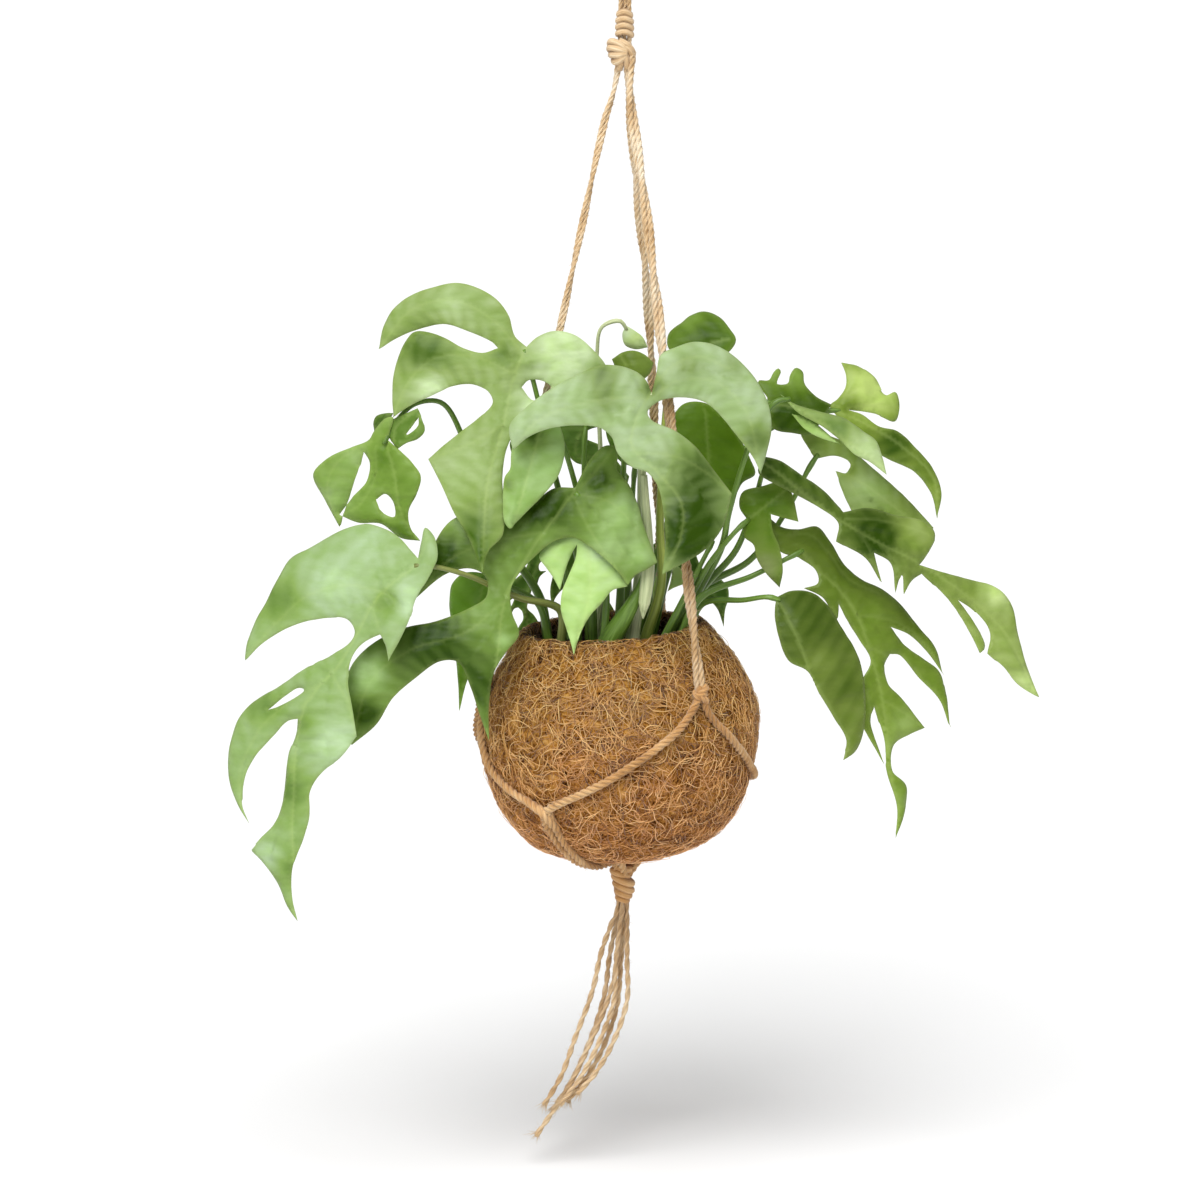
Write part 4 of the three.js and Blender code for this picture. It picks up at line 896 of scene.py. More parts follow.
def make_fibres(look, name, seed, count, steps, step, width, lift, curl, tones):
    """Loose fibres that wander over the pot's skin in all directions."""
    rng = np.random.default_rng(seed)
    girth = POT_SKIN[:, 0] + 2
    start = np.interp(rng.uniform(0, 1, count), np.cumsum(girth) / girth.sum(), SKIN_LENGTH)
    along = start
    angle = rng.uniform(0, FULL_TURN, count)
    heading = rng.uniform(0, FULL_TURN, count)
    bend = rng.normal(size=count) * curl
    high = rng.uniform(*lift, count)
    size = step * rng.uniform(0.4, 1.0, count)
    paths = []
    for i in range(steps + 1):
        height = high * math.sin(math.pi * i / steps) ** 0.7 - 0.25
        paths.append(skin_point(np.clip(along, 1, SKIN_LENGTH[-1] - 0.5), angle, height))
        radius = np.maximum(np.interp(along, SKIN_LENGTH, POT_SKIN[:, 0]), 5)
        along = along + np.cos(heading) * size
        angle = angle + np.sin(heading) * size / radius
        heading = heading + bend * size + rng.normal(size=count) * curl * size * 1.2
        bend = bend + rng.normal(size=count) * curl * 0.3
    path = np.stack(paths, axis=1)
    tangent = unit(np.gradient(path, axis=1))
    side = unit(np.cross(tangent, unit(path - POT_CENTRE)))
    up = np.cross(side, tangent)
    thick = (rng.uniform(*width, count))[:, None, None] / 2
    taper = np.sin(np.linspace(0.25, math.pi - 0.25, steps + 1))[None, :, None] ** 0.5
    rings = []
    for turn in THREE_SIDES:
        rings.append(path + thick * taper * (math.cos(turn) * up * 0.7 + math.sin(turn) * side))
    per_fibre = (steps + 1) * len(rings)
    first = (np.arange(count) * per_fibre)[:, None, None]
    triangles = ring_triangles(steps + 1, len(rings))[None] + first
    # Each fibre's tone is random, and lower inside the mouth, where it paints shade.
    tone = np.repeat(rng.uniform(*tones, count) * mouth_shade_factor(start), per_fibre)
    bag = Bag()
    bag.add(np.stack(rings, axis=2), triangles, None, tone)
    bag.piece(name, [look], "coir")


def soil_top(radius):
    return SOIL_HEIGHT - (radius / SOIL_RADIUS) ** 2 * 1.2


def make_soil():
    """Dark crumbly soil, seen in the mouth of the pot. It slopes down beyond its radius."""
    rows, columns = 46, 120
    slope = [45.5, 47, 49, 51, 53, 55]
    radius = np.concatenate([np.linspace(0, SOIL_RADIUS, rows - len(slope)), slope])[:, None]
    angle = ring_angles(columns)[None, :]
    beyond = SOIL_HEIGHT - 1.5 - (radius - SOIL_RADIUS) * 1.3
    height = np.where(radius <= SOIL_RADIUS, soil_top(radius) + 1, beyond)
    flat = np.stack([radius * np.cos(angle), radius * np.sin(angle), height + 0 * angle], axis=-1)
    flat[..., 2] += lumps(flat, 0.22, 0.7, 0.5) * 1.1
    bag = Bag()
    bag.add(to_world(flat), ring_triangles(rows, columns))
    rng = np.random.default_rng(3)
    corners = unit(np.array([(x, y, z) for x in (-1, 1) for y in (-1, 1) for z in (-1, 1)], float))
    faces = [
        (0, 1, 3), (0, 3, 2), (4, 6, 7), (4, 7, 5), (0, 4, 5), (0, 5, 1), (2, 3, 7), (2, 7, 6),
        (0, 2, 6), (0, 6, 4), (1, 5, 7), (1, 7, 3),
    ]
    crumbs = 900
    for _ in range(crumbs):
        out = 42 * math.sqrt(rng.uniform(0, 1))
        turn = rng.uniform(0, FULL_TURN)
        size = rng.uniform(0.5, 1.9)
        crumb = corners * rng.uniform(0.6, 1.1, (8, 1)) * size * rng.uniform(0.7, 1.2, 3)
        centre = np.array([out * math.cos(turn), out * math.sin(turn), soil_top(out) + 1.2])
        bag.add(to_world(crumb + centre), faces)
    bag.piece("potting_soil_crumb", [soil_look()], "soil", ["potting_soil"])


make_pot()
FIBRE = coir_fibre_look()
for layer in FIBRE_LAYERS:
    make_fibres(FIBRE, *layer)
make_soil()


# Leaf outlines in the front picture. Each list is one smooth edge, and it runs to the first
# point of the next: they meet in a tip or a notch.
OUTLINES = {
    "front_left": [
        [(416, 556), (408, 547), (398, 536), (383, 527), (363, 522), (343, 526), (325, 535),
         (305, 547), (288, 557), (276, 576), (264, 598), (252, 619), (245, 640)],
        [(242, 659), (256, 644), (277, 631), (300, 621), (326, 616), (345, 618), (353, 630),
         (348, 641), (328, 654), (302, 668), (276, 685), (254, 698), (239, 713), (229, 736),
         (224, 762), (227, 785), (236, 806)],
        [(246, 823), (239, 803), (241, 780), (252, 757), (269, 736), (285, 720)],
        [(295, 718), (293, 733), (286, 755), (282, 780), (279, 803), (271, 824), (258, 838)],
        [(248, 850), (260, 862), (273, 881), (284, 906)],
        [(295, 922), (289, 897), (290, 868), (300, 840), (307, 815), (308, 790), (320, 771),
         (338, 757)],
        [(354, 736), (350, 705), (346, 680), (350, 657), (362, 641)],
        [(378, 633), (384, 645)],
        [(386, 660), (396, 643), (407, 620), (415, 596), (427, 575), (436, 557), (433, 535),
         (424, 526), (420, 540)],
    ],
    "top_left": [
        [(526, 346), (514, 335), (508, 315), (496, 299), (476, 287), (455, 282), (433, 286),
         (409, 295), (391, 309), (381, 327)],
        [(377, 348), (396, 337), (418, 328), (442, 323), (466, 330), (491, 341)],
        [(497, 347), (482, 352), (462, 347), (444, 337), (427, 331), (413, 331), (401, 346),
         (393, 370), (391, 396)],
        [(392, 416), (408, 405), (430, 394), (452, 385), (472, 383), (488, 391), (492, 402),
         (478, 416), (458, 432), (440, 446)],
        [(427, 457), (440, 482), (453, 510), (468, 536)],
        [(482, 571), (488, 549), (502, 533), (504, 505), (502, 475), (507, 445), (520, 425),
         (545, 405), (575, 397), (603, 382), (607, 368), (592, 348), (574, 334), (554, 330),
         (537, 336)],
    ],
    "centre": [
        [(652, 393), (648, 381), (638, 371), (618, 364), (598, 364), (576, 374), (552, 387),
         (528, 404), (509, 424)],
        [(512, 449), (528, 436), (552, 427), (580, 424), (601, 427), (612, 436), (618, 452),
         (632, 466), (648, 472), (659, 487), (664, 510), (666, 540)],
        [(663, 574), (684, 563), (706, 549), (724, 526)],
        [(733, 493), (715, 469), (697, 446), (676, 430), (652, 419), (648, 411), (658, 401),
         (682, 396), (704, 400), (722, 415), (741, 438), (755, 458)],
        [(762, 473), (768, 453), (773, 427), (769, 402), (757, 378), (738, 357), (718, 344),
         (696, 340), (676, 346), (661, 354), (657, 372)],
    ],
    "under_centre": [
        [(545, 408), (560, 424), (566, 446), (560, 473), (546, 492), (530, 508)],
        [(515, 523), (511, 528), (505, 522), (503, 498), (505, 475), (510, 468), (512, 448),
         (524, 428)],
    ],
    "middle": [
        [(575, 487), (583, 471), (593, 455), (605, 445), (616, 446), (618, 456), (617, 467),
         (628, 482), (637, 500), (646, 530)],
        [(658, 562), (647, 569), (637, 574)],
        [(628, 585), (617, 570), (602, 556), (588, 545), (573, 537), (556, 540), (546, 546)],
        [(538, 553), (523, 568), (511, 588), (512, 612), (519, 634), (506, 652), (494, 672),
         (489, 705)],
        [(489, 741), (479, 713), (470, 686), (458, 662), (440, 661), (416, 677), (393, 697),
         (376, 724)],
        [(351, 745), (344, 715), (343, 688), (353, 662), (375, 641), (405, 627), (435, 621),
         (468, 608), (486, 596), (485, 576), (470, 568), (445, 574)],
        [(409, 603), (427, 568), (436, 539), (452, 519), (478, 512), (505, 514), (530, 505),
         (553, 488)],
    ],
    "middle_lobe": [
        [(574, 655), (571, 643), (566, 627), (561, 610), (561, 598)],
        [(563, 588), (569, 574), (576, 556)],
        [(577, 544), (572, 553), (566, 568)],
        [(560, 590), (553, 577), (546, 567), (539, 556), (546, 545), (565, 530), (590, 536),
         (612, 556)],
        [(628, 586), (613, 590), (602, 603), (590, 616), (580, 635)],
    ],
    "left": [
        [(385, 440), (397, 450), (411, 464), (419, 477), (415, 494), (407, 511), (408, 528)],
        [(418, 541), (398, 538), (378, 524), (356, 523)],
        [(336, 515), (350, 497), (364, 482), (367, 462)],
        [(361, 452), (357, 467), (349, 490), (341, 512)],
        [(337, 527), (322, 501), (310, 475), (326, 458), (350, 447), (366, 440), (372, 430),
         (382, 419), (391, 417)],
    ],
    "left_curl": [
        [(396, 449), (389, 441), (386, 430), (391, 420), (403, 414)],
        [(416, 408), (421, 420), (423, 431), (416, 439), (405, 443)],
    ],
    "left_tuft": [
        [(372, 432), (371, 423), (374, 416), (384, 413)],
        [(392, 413), (386, 422), (380, 428)],
    ],
    "round_left": [
        [(457, 710), (465, 682), (478, 655), (491, 627), (497, 600), (494, 582), (482, 573),
         (463, 572), (450, 582), (446, 600), (449, 625), (453, 650), (456, 685)],
    ],
    "top": [
        [(678, 352), (668, 345), (668, 331), (681, 319), (691, 311), (705, 308), (720, 315),
         (730, 327), (736, 338), (729, 350), (712, 358), (694, 360)],
    ],
    "young": [
        [(627, 326), (622, 334), (624, 347), (634, 351)],
        [(648, 348), (643, 337), (634, 330)],
    ],
    "behind_top": [
        [(611, 359), (622, 352), (634, 350), (645, 354)],
        [(654, 362), (649, 374), (634, 382), (617, 371)],
    ],
    "behind_centre": [
        [(712, 546), (697, 520), (683, 490), (674, 455), (672, 422), (684, 404), (704, 402),
         (722, 414), (741, 436), (752, 458), (757, 474), (744, 483), (736, 500), (726, 520)],
    ],
    "right_upper": [
        [(838, 414), (832, 404), (840, 397), (848, 385), (848, 373)],
        [(843, 361), (860, 364), (876, 375), (886, 391)],
        [(890, 393), (898, 390), (902, 406), (897, 420), (876, 412)],
        [(850, 408), (864, 413), (880, 425), (900, 430), (918, 446), (934, 466), (943, 492)],
        [(939, 518), (934, 494), (916, 471), (893, 459), (870, 446), (852, 430)],
    ],
    "right_dark": [
        [(768, 396), (759, 379), (770, 378), (774, 371), (779, 366), (782, 369), (779, 377),
         (778, 382), (789, 381), (791, 373), (797, 365), (804, 369), (806, 381), (818, 394)],
        [(833, 402), (822, 420), (813, 433), (793, 432), (774, 427)],
    ],
    "right_pale": [
        [(782, 392), (798, 402), (822, 410), (846, 416), (865, 428), (878, 438), (884, 456)],
        [(888, 473), (872, 461), (856, 453), (841, 437), (824, 424), (800, 412)],
    ],
    "right_pale_fold": [
        [(793, 412), (806, 416), (820, 424)],
        [(842, 442), (824, 437), (806, 427)],
    ],
    "right_back": [
        [(818, 458), (810, 447), (803, 432), (824, 433), (846, 441), (868, 460), (892, 482),
         (916, 504)],
        [(936, 527), (918, 540), (888, 536), (862, 526), (852, 507), (844, 488)],
        [(838, 470), (849, 472), (852, 461), (838, 455)],
    ],
    "right_long": [
        [(764, 455), (781, 459), (803, 474), (826, 489)],
        [(846, 511), (870, 507), (897, 514), (928, 520), (938, 533), (932, 549)],
        [(922, 564), (940, 570), (972, 578), (998, 586), (1013, 602), (1021, 633), (1030, 668)],
        [(1041, 697), (1020, 684), (1006, 667)],
        [(990, 653), (993, 632), (978, 611)],
        [(960, 599), (976, 620), (988, 646)],
        [(982, 653), (966, 620), (946, 594)],
        [(924, 573), (914, 580)],
        [(906, 594), (904, 574)],
        [(898, 592), (893, 563)],
        [(876, 552), (879, 565)],
        [(884, 582), (868, 558), (850, 547)],
        [(838, 541), (840, 522), (822, 507), (797, 493), (776, 483), (760, 472)],
    ],
    "right_lower": [
        [(801, 556), (783, 550), (774, 533)],
        [(767, 513), (784, 526), (800, 528), (820, 525), (835, 543), (846, 563), (862, 577),
         (886, 588), (905, 604), (922, 627), (938, 647)],
        [(947, 674), (932, 652), (912, 634)],
        [(893, 626), (906, 643), (926, 657), (942, 670), (949, 694)],
        [(954, 727), (943, 700), (922, 677), (903, 654)],
        [(893, 653), (887, 665), (890, 683), (905, 698)],
        [(928, 727), (912, 734), (896, 745), (895, 771), (909, 785), (908, 810)],
        [(898, 838), (900, 806), (889, 768), (887, 742)],
        [(877, 706), (873, 722)],
        [(887, 764), (869, 734), (858, 710), (862, 684), (873, 660), (863, 641), (850, 619)],
        [(841, 603), (840, 618), (824, 596)],
        [(806, 587), (820, 582), (818, 568)],
    ],
    "right_hanging": [
        [(778, 596), (794, 589), (815, 591), (830, 604), (843, 624), (860, 651), (867, 685),
         (867, 730), (858, 751)],
        [(845, 760), (849, 739), (836, 717), (821, 692), (810, 671), (791, 660), (781, 637),
         (776, 613)],
    ],
    "mid_right": [
        [(747, 519), (739, 506), (742, 491), (762, 485), (784, 481), (792, 493)],
        [(799, 522), (784, 518)],
        [(771, 514), (773, 530), (780, 547), (784, 571)],
        [(781, 589), (766, 573), (757, 558), (754, 545), (744, 536)],
    ],
}

HOLES = {
    "front_left": [(265, 709), (276, 705), (302, 689), (296, 687), (279, 697)],
    "top_left": [(521, 386), (528, 379), (543, 380), (551, 387), (533, 399)],
    "left": [(373, 500), (383, 494), (391, 502), (392, 517), (380, 513)],
    "left_curl": [(417, 417), (411, 426), (404, 435), (409, 433), (417, 425)],
}

# The main vein of each outline first, then those of its lobes.
VEINS = {
    "front_left": [
        [(414, 564), (377, 600), (338, 662), (302, 712), (291, 803), (295, 921)],
        [(385, 592), (345, 586), (302, 598), (268, 628), (244, 656)],
        [(372, 606), (379, 630), (386, 656)],
        [(414, 562), (424, 547), (426, 530)],
        [(322, 682), (284, 704), (254, 735), (236, 780), (245, 820)],
        [(330, 672), (345, 700), (353, 732)],
        [(296, 740), (278, 800), (250, 849)],
    ],
    "top_left": [
        [(524, 350), (512, 382), (503, 425), (488, 480), (482, 569)],
        [(520, 349), (490, 318), (452, 300), (414, 308), (380, 344)],
        [(514, 374), (474, 356), (434, 358), (408, 382), (393, 412)],
        [(503, 425), (472, 442), (430, 457)],
        [(526, 352), (556, 354), (586, 368), (609, 376)],
    ],
    "centre": [
        [(650, 394), (636, 420), (632, 446), (658, 472), (682, 504), (680, 540), (664, 572)],
        [(646, 398), (610, 399), (570, 406), (536, 421), (514, 446)],
        [(654, 394), (682, 380), (716, 382), (746, 410), (761, 468)],
        [(640, 452), (680, 458), (710, 474), (730, 492)],
        [(652, 388), (672, 366), (700, 356), (730, 368)],
    ],
    "middle": [
        [(575, 490), (556, 516), (530, 552), (505, 600), (498, 650), (489, 736)],
        [(577, 490), (598, 468), (612, 450)],
        [(578, 494), (610, 502), (636, 528), (655, 560)],
        [(574, 497), (590, 530), (624, 580)],
        [(544, 532), (500, 540), (452, 558), (412, 600)],
        [(508, 596), (466, 632), (410, 650), (370, 682), (352, 740)],
    ],
    "left": [
        [(384, 444), (393, 475), (398, 510), (414, 538)],
        [(370, 442), (336, 462), (325, 490), (337, 523)],
        [(374, 446), (371, 480), (358, 505), (340, 514)],
    ],
    "right_lower": [
        [(803, 550), (856, 611), (880, 680), (890, 740), (899, 832)],
        [(858, 614), (900, 622), (928, 644), (945, 670)],
        [(872, 646), (904, 664), (934, 690), (952, 722)],
        [(886, 700), (908, 714), (926, 727)],
        [(868, 690), (878, 730), (886, 760)],
        [(790, 534), (812, 534), (830, 552), (850, 578), (880, 592)],
    ],
    "right_long": [
        [(762, 460), (850, 525), (940, 575), (1005, 630), (1036, 690)],
        [(846, 518), (880, 520), (914, 528), (934, 536)],
        [(880, 544), (897, 562), (904, 590)],
        [(860, 532), (874, 556), (883, 580)],
        [(945, 580), (975, 605), (986, 645)],
    ],
    "right_upper": [
        [(838, 410), (870, 425), (905, 446), (934, 476), (940, 512)],
        [(838, 408), (856, 390), (876, 384), (892, 396), (897, 414)],
        [(842, 404), (850, 384), (850, 366)],
    ],
    "right_back": [
        [(818, 454), (860, 480), (905, 515), (930, 526)],
        [(848, 472), (862, 500), (880, 530)],
    ],
    "middle_lobe": [[(588, 544), (590, 590), (575, 652)]],
    "left_curl": [[(392, 444), (394, 428), (414, 411)], [(398, 442), (412, 438), (420, 426)]],
    "left_tuft": [[(388, 415), (374, 428)]],
    "right_pale_fold": [[(796, 413), (838, 440)]],
}

# Sharp folds, where the blade creases.
FOLDS = {
    "middle": [[(637, 500), (633, 530), (629, 580)], [(578, 494), (596, 476), (616, 470)]],
    "front_left": [[(390, 580), (402, 571), (416, 568)]],
    "left": [[(384, 444), (373, 470), (371, 500)]],
}

# Further blades of the same leaf: outline, millimetres behind the first, pale and deep shade.
MORE_BLADES = {
    "middle": [("middle_lobe", 4.5, 0xD0E6C0, 0xA6CC8E)],
    "left": [("left_curl", 1.5, 0x7C9C50, 0x3E5E1A), ("left_tuft", 2.5, 0x5A7A30, 0x2A4A10)],
    "right_pale": [("right_pale_fold", 3, 0xBCD69C, 0x80A65A)],
}

# Each leaf has the outline of its name. axis: the blade's middle line, from the stalk to the far
# end. depth: y at the stalk, slopes along and across that line, and bends in mm per 100 mm squared.
# shade and far: its pale and its deep green, between which its painted light and shade run. fade:
# how deep it is at the stalk and at the far end, as painted light and shade along the blade. patches:
# painted highlights and painted shade, where it is paler or deeper, each a point, a size and how much
# deeper. foot: where the stalk stands, in millimetres from the pot's axis. stalk: where it passes.
# stem and thick: its look and thickness. sheaths: the points and radii of each. A leaf at the back is
# drawn in the view from behind, with an outline used again: flipped, scaled, spun, and with its
# stalk's end at a point.
LEAVES = {
    "front_left": dict(
        axis=[(414, 566), (295, 921)],
        depth=(-56, -0.4, -0.45, 0.13, 0.25), stem="olive", shade=0xAEC799, far=0x618138, foot=(-26, -17),
        stalk=[(560, 610, -22), (520, 598, -32), (494, 587, -39.5), (472, 577, -48), (450, 570, -50.5),
               (430, 566, -52)],
        fade=(0.3, 0.4),
        patches=[(335, 585, 28, -0.5), (365, 542, 22, -0.3), (410, 600, 18, -0.6),
                 (278, 598, 22, 0.5), (388, 602, 13, 0.5), (262, 706, 16, 0.5), (287, 790, 20, 0.6),
                 (335, 745, 24, -0.6), (304, 725, 11, 0.4), (266, 855, 14, -0.4), (290, 870, 12, 0.4)]),
    "top_left": dict(
        axis=[(524, 350), (482, 571)],
        depth=(-15, -0.25, -0.15, -0.16, 0.14), shade=0xBED2A0, far=0x3E5F02, foot=(-19, -8),
        stalk=[(580, 570, -12), (556, 480, -11), (538, 400, -13), (528, 362, -14)],
        fade=(0.45, 0.45),
        patches=[(450, 302, 16, -0.3), (425, 352, 26, 0.5), (430, 388, 16, -0.8),
                 (565, 350, 28, -0.9), (540, 405, 22, -0.8), (505, 355, 14, 0.3), (470, 530, 22, 0.5),
                 (480, 560, 14, 0.6), (455, 470, 24, -0.15)]),
    "centre": dict(
        axis=[(652, 396), (664, 560)],
        depth=(-42, -0.34, 0.12, 0.06, 0.12), stem="pale", thick=1.5, shade=0xB9CFA4, far=0x304B02,
        foot=(7, -17),
        stalk=[(641, 560, -20), (642, 460, -24), (645, 404, -30), (649, 398, -36)],
        sheaths=[([(643, 619, -34), (644, 606, -34), (646, 590, -33), (648, 566, -31), (647, 530, -28.5),
                   (645, 500, -27), (644, 475, -26.5)], (0.3, 2.9, 3.2, 3.2, 3, 2.7, 2.5, 2.3, 2, 1.6))],
        fade=(0.16, 0.16),
        patches=[(690, 532, 48, 0.95), (704, 468, 34, 0.6), (602, 372, 18, 0.5), (605, 398, 14, 0.4),
                 (652, 386, 13, 0.7), (757, 438, 17, 0.6), (735, 365, 13, 0.3), (688, 366, 16, 0.35)]),
    "under_centre": dict(
        axis=[(545, 414), (515, 522)],
        depth=(-30, -0.36, 0, 0, 0.3), shade=0xB2D38E, far=0x304B02, foot=(-10, -14),
        stalk=[(590, 560, -18), (574, 480, -20), (556, 428, -23)],
        fade=(0.15, 0.3),
        patches=[(532, 432, 17, 0.8), (508, 482, 9, 0.4)]),
    "middle": dict(
        axis=[(575, 493), (480, 650)],
        depth=(-36, -0.22, -0.12, 0.02, 0.06), stem="green", shade=0xA3C17D, far=0x304B02, foot=(-6, -25),
        stalk=[(606, 590, -28), (598, 530, -29), (584, 502, -33)],
        sheaths=[([(604, 652, -25), (614, 634, -28), (631, 606, -30), (642, 584, -29), (648, 560, -28)],
                  (6.2, 5.2, 3.8, 2.4, 1.4))],
        fade=(0.5, 0.5),
        patches=[(625, 512, 20, -0.7), (642, 553, 17, -0.5), (605, 545, 18, -0.4),
                 (600, 480, 18, 0.5), (544, 508, 30, 0.6), (548, 536, 15, -0.3), (430, 640, 38, 0.6),
                 (443, 556, 22, 0.6), (465, 521, 12, -0.5), (367, 674, 18, -0.9), (366, 714, 17, 0.6),
                 (480, 608, 20, -0.15), (503, 640, 8, -0.5), (476, 686, 32, 0.45)]),
    "left": dict(
        axis=[(384, 444), (405, 530)],
        depth=(-14, -0.2, -0.35, 0, 0.3), shade=0x99B56E, far=0x5C7E23, foot=(-30, -1),
        stalk=[(540, 598, 4), (500, 535, 7), (468, 450, 6), (442, 403, 4), (415, 404, 1), (392, 428, -9)],
        fade=(0.4, 0.5),
        patches=[(330, 500, 17, -0.5), (382, 458, 15, 0.5), (405, 532, 14, 0.4), (350, 455, 14, -0.4),
                 (400, 482, 14, 0.3)]),
    "round_left": dict(
        axis=[(483, 578), (457, 710)],
        depth=(-18, -0.25, -0.4, 0, 0.8), shade=0x89B54D, far=0x567A07, foot=(-28, -9),
        stalk=[(538, 604, -13), (508, 586, -17)],
        fade=(0.3, 0.6)),
    "top": dict(
        axis=[(682, 350), (728, 338)],
        depth=(4, 0.1, 0.6, 0, 0.8), stem="yellow", thick=1.2, shade=0x87A64F, far=0x365402, foot=(11, -7),
        stalk=[(661, 585, -8), (660, 520, -6), (664, 430, -2), (672, 368, 2)],
        fade=(0.5, 0.6),
        patches=[(690, 316, 13, -0.4), (706, 333, 18, 0.35)]),
    "young": dict(
        axis=[(627, 330), (646, 346)],
        depth=(-10, 0, 0, 0, 2.4), stem="pale", thick=0.75, shade=0xD2E0CC, far=0xBACDA2, foot=(-11, 3),
        stalk=[(606, 560, 2), (600, 440, -1), (597, 356, -4), (602, 327, -8), (620, 321, -10)]),
    "behind_top": dict(
        axis=[(632, 376), (618, 352)],
        depth=(-14, 0.2, 0, 0, 0.6), shade=0x889D51, far=0x4B631C, foot=(1, -6),
        stalk=[(622, 560, -6), (624, 460, -8), (630, 392, -12)]),
    "behind_centre": dict(
        axis=[(713, 541), (706, 410)],
        depth=(-6, 0.15, -0.25, 0, 0.4), shade=0x7B9E42, far=0x517206, foot=(16, -16),
        stalk=[(682, 602, -17), (700, 566, -12)],
        fade=(0.6, 0.6),
        patches=[(690, 425, 22, -0.2), (735, 432, 16, 0.3)]),
    "right_upper": dict(
        axis=[(840, 410), (938, 480)],
        depth=(8, 0.05, 0.55, 0, 0.5), shade=0xB2C76E, far=0x37530C, foot=(15, 7),
        stalk=[(672, 560, 8), (716, 480, 9), (772, 428, 11), (820, 412, 9)],
        fade=(0.5, 0.8),
        patches=[(872, 388, 26, -0.9), (852, 402, 12, 0.4), (895, 442, 20, 0.4), (935, 492, 16, -0.2)]),
    "right_dark": dict(
        axis=[(772, 402), (815, 410)],
        depth=(-2, 0.1, 0.5, 0, 0.8), shade=0x7A983F, far=0x304B02, foot=(9, 13),
        stalk=[(656, 560, 16), (694, 460, 16), (738, 410, 8), (762, 402, 1)],
        fade=(0.5, 0.9),
        patches=[(800, 375, 14, -0.7), (776, 370, 12, -0.6), (785, 418, 18, 0.5)]),
    "right_pale": dict(
        axis=[(790, 399), (884, 465)],
        depth=(-20, -0.1, 0.6, 0, 0.8), shade=0xC1D5A0, far=0x436626, foot=(22, -5),
        stalk=[(698, 592, -3), (722, 546, -9), (729, 512, -15), (752, 440, -18), (776, 402, -19)],
        fade=(0.7, 0.1),
        patches=[(868, 446, 14, -0.2), (838, 428, 14, 0.35)]),
    "right_back": dict(
        axis=[(818, 454), (905, 520)],
        depth=(12, 0.15, 0.5, 0, 0.4), shade=0xB4CC88, far=0x556A0F, foot=(22, 9),
        stalk=[(698, 590, 10), (750, 560, 10), (790, 505, 13), (808, 470, 13)],
        fade=(0.4, 0.4),
        patches=[(866, 490, 18, -0.4), (915, 505, 18, 0.2), (852, 470, 8, 0.3)]),
    "right_long": dict(
        axis=[(768, 464), (1030, 680)],
        depth=(-20, 0.1, 0.5, 0.02, 0.3), shade=0xBACE85, far=0x304B02, foot=(26, 1),
        stalk=[(700, 592, 2), (736, 550, 3), (756, 496, 1), (762, 475, -6)],
        fade=(1.0, 0.3),
        patches=[(1000, 590, 17, -0.7), (1028, 685, 14, -0.5), (915, 528, 18, -0.3),
                 (878, 537, 20, 0.45)]),
    "right_lower": dict(
        axis=[(803, 550), (890, 740)],
        depth=(-4, -0.22, 0.6, 0.08, 0.25), shade=0x93AB5D, far=0x637929, foot=(25, -12),
        stalk=[(700, 598, -15.5), (752, 576, -5), (792, 556, -4)],
        fade=(0.9, 0.45),
        patches=[(907, 722, 17, -0.5), (894, 746, 10, -0.4), (904, 800, 16, -0.3),
                 (826, 554, 20, 0.5), (915, 622, 17, 0.3), (874, 612, 16, -0.2)]),
    "right_hanging": dict(
        axis=[(780, 600), (848, 752)],
        depth=(-26, -0.25, 0.5, 0.1, 0.5), shade=0x97A865, far=0x314B02, foot=(29, -6),
        stalk=[(702, 604, -8), (744, 600, -18), (768, 597, -24)],
        fade=(0.9, 0.4),
        patches=[(820, 660, 14, -0.3), (850, 690, 14, 0.2)]),
    "mid_right": dict(
        axis=[(749, 519), (788, 488)],
        depth=(-12, 0.1, 0.2, 0, 0.5), shade=0x919C69, far=0x557C02, foot=(18, -9),
        stalk=[(694, 590, -10), (712, 560, -14), (736, 531, -13)],
        fade=(0.8, 0.6),
        patches=[(766, 568, 20, -0.7), (772, 500, 16, 0.2)]),
    "back_long": dict(
        outline="front_left", axis=[(416, 560), (295, 921)],
        flip=-1, at=(612, 560), scale=0.56, spin=18, depth=(-47, -0.44, 0, 0.12, 0.2), shade=0x6F9446,
        foot=(-8, -24), stalk=[(606, 590, -30), (602, 566, -38)]),
    "back_split": dict(
        outline="middle", axis=[(575, 493), (480, 650)],
        flip=1, at=(546, 588), scale=0.5, spin=-31, depth=(-66, -0.3, 0, 0.05, 0.1), shade=0x567D35,
        foot=(-17, -20), stalk=[(582, 594, -34), (556, 578, -50)]),
    "back_right": dict(
        outline="right_lower", axis=[(803, 550), (890, 740)],
        flip=1, at=(696, 590), scale=0.46, spin=16, depth=(-58, -0.14, 0, 0.05, 0.2), shade=0x5F873A,
        foot=(22, -20), stalk=[(672, 592, -33), (686, 580, -48)]),
    "back_round": dict(
        outline="top", axis=[(682, 350), (728, 338)],
        flip=1, at=(600, 470), scale=1, spin=-50, depth=(-14, 0.1, 0, 0, 0.5), shade=0x6F9446,
        foot=(-2, -14), stalk=[(606, 580, -16), (602, 500, -15)]),
    "back_upper": dict(
        outline="centre", axis=[(652, 396), (664, 560)],
        flip=-1, at=(650, 440), scale=0.55, spin=0, depth=(-30, -0.2, 0, 0.05, 0.1), shade=0x7D9F55,
        foot=(12, -16), stalk=[(648, 580, -18), (652, 480, -22), (651, 446, -26)]),
}


# Blades. Steps and grid are in units of the picture, and the rest is millimetres.

EDGE_STEP = 2.6
CREASE_STEP = 2.4
VEIN_STEP = 3
BLADE_GRID = 3.2
VEIN_SPACING = 8.5
JOINT_DEPTH = 2.6
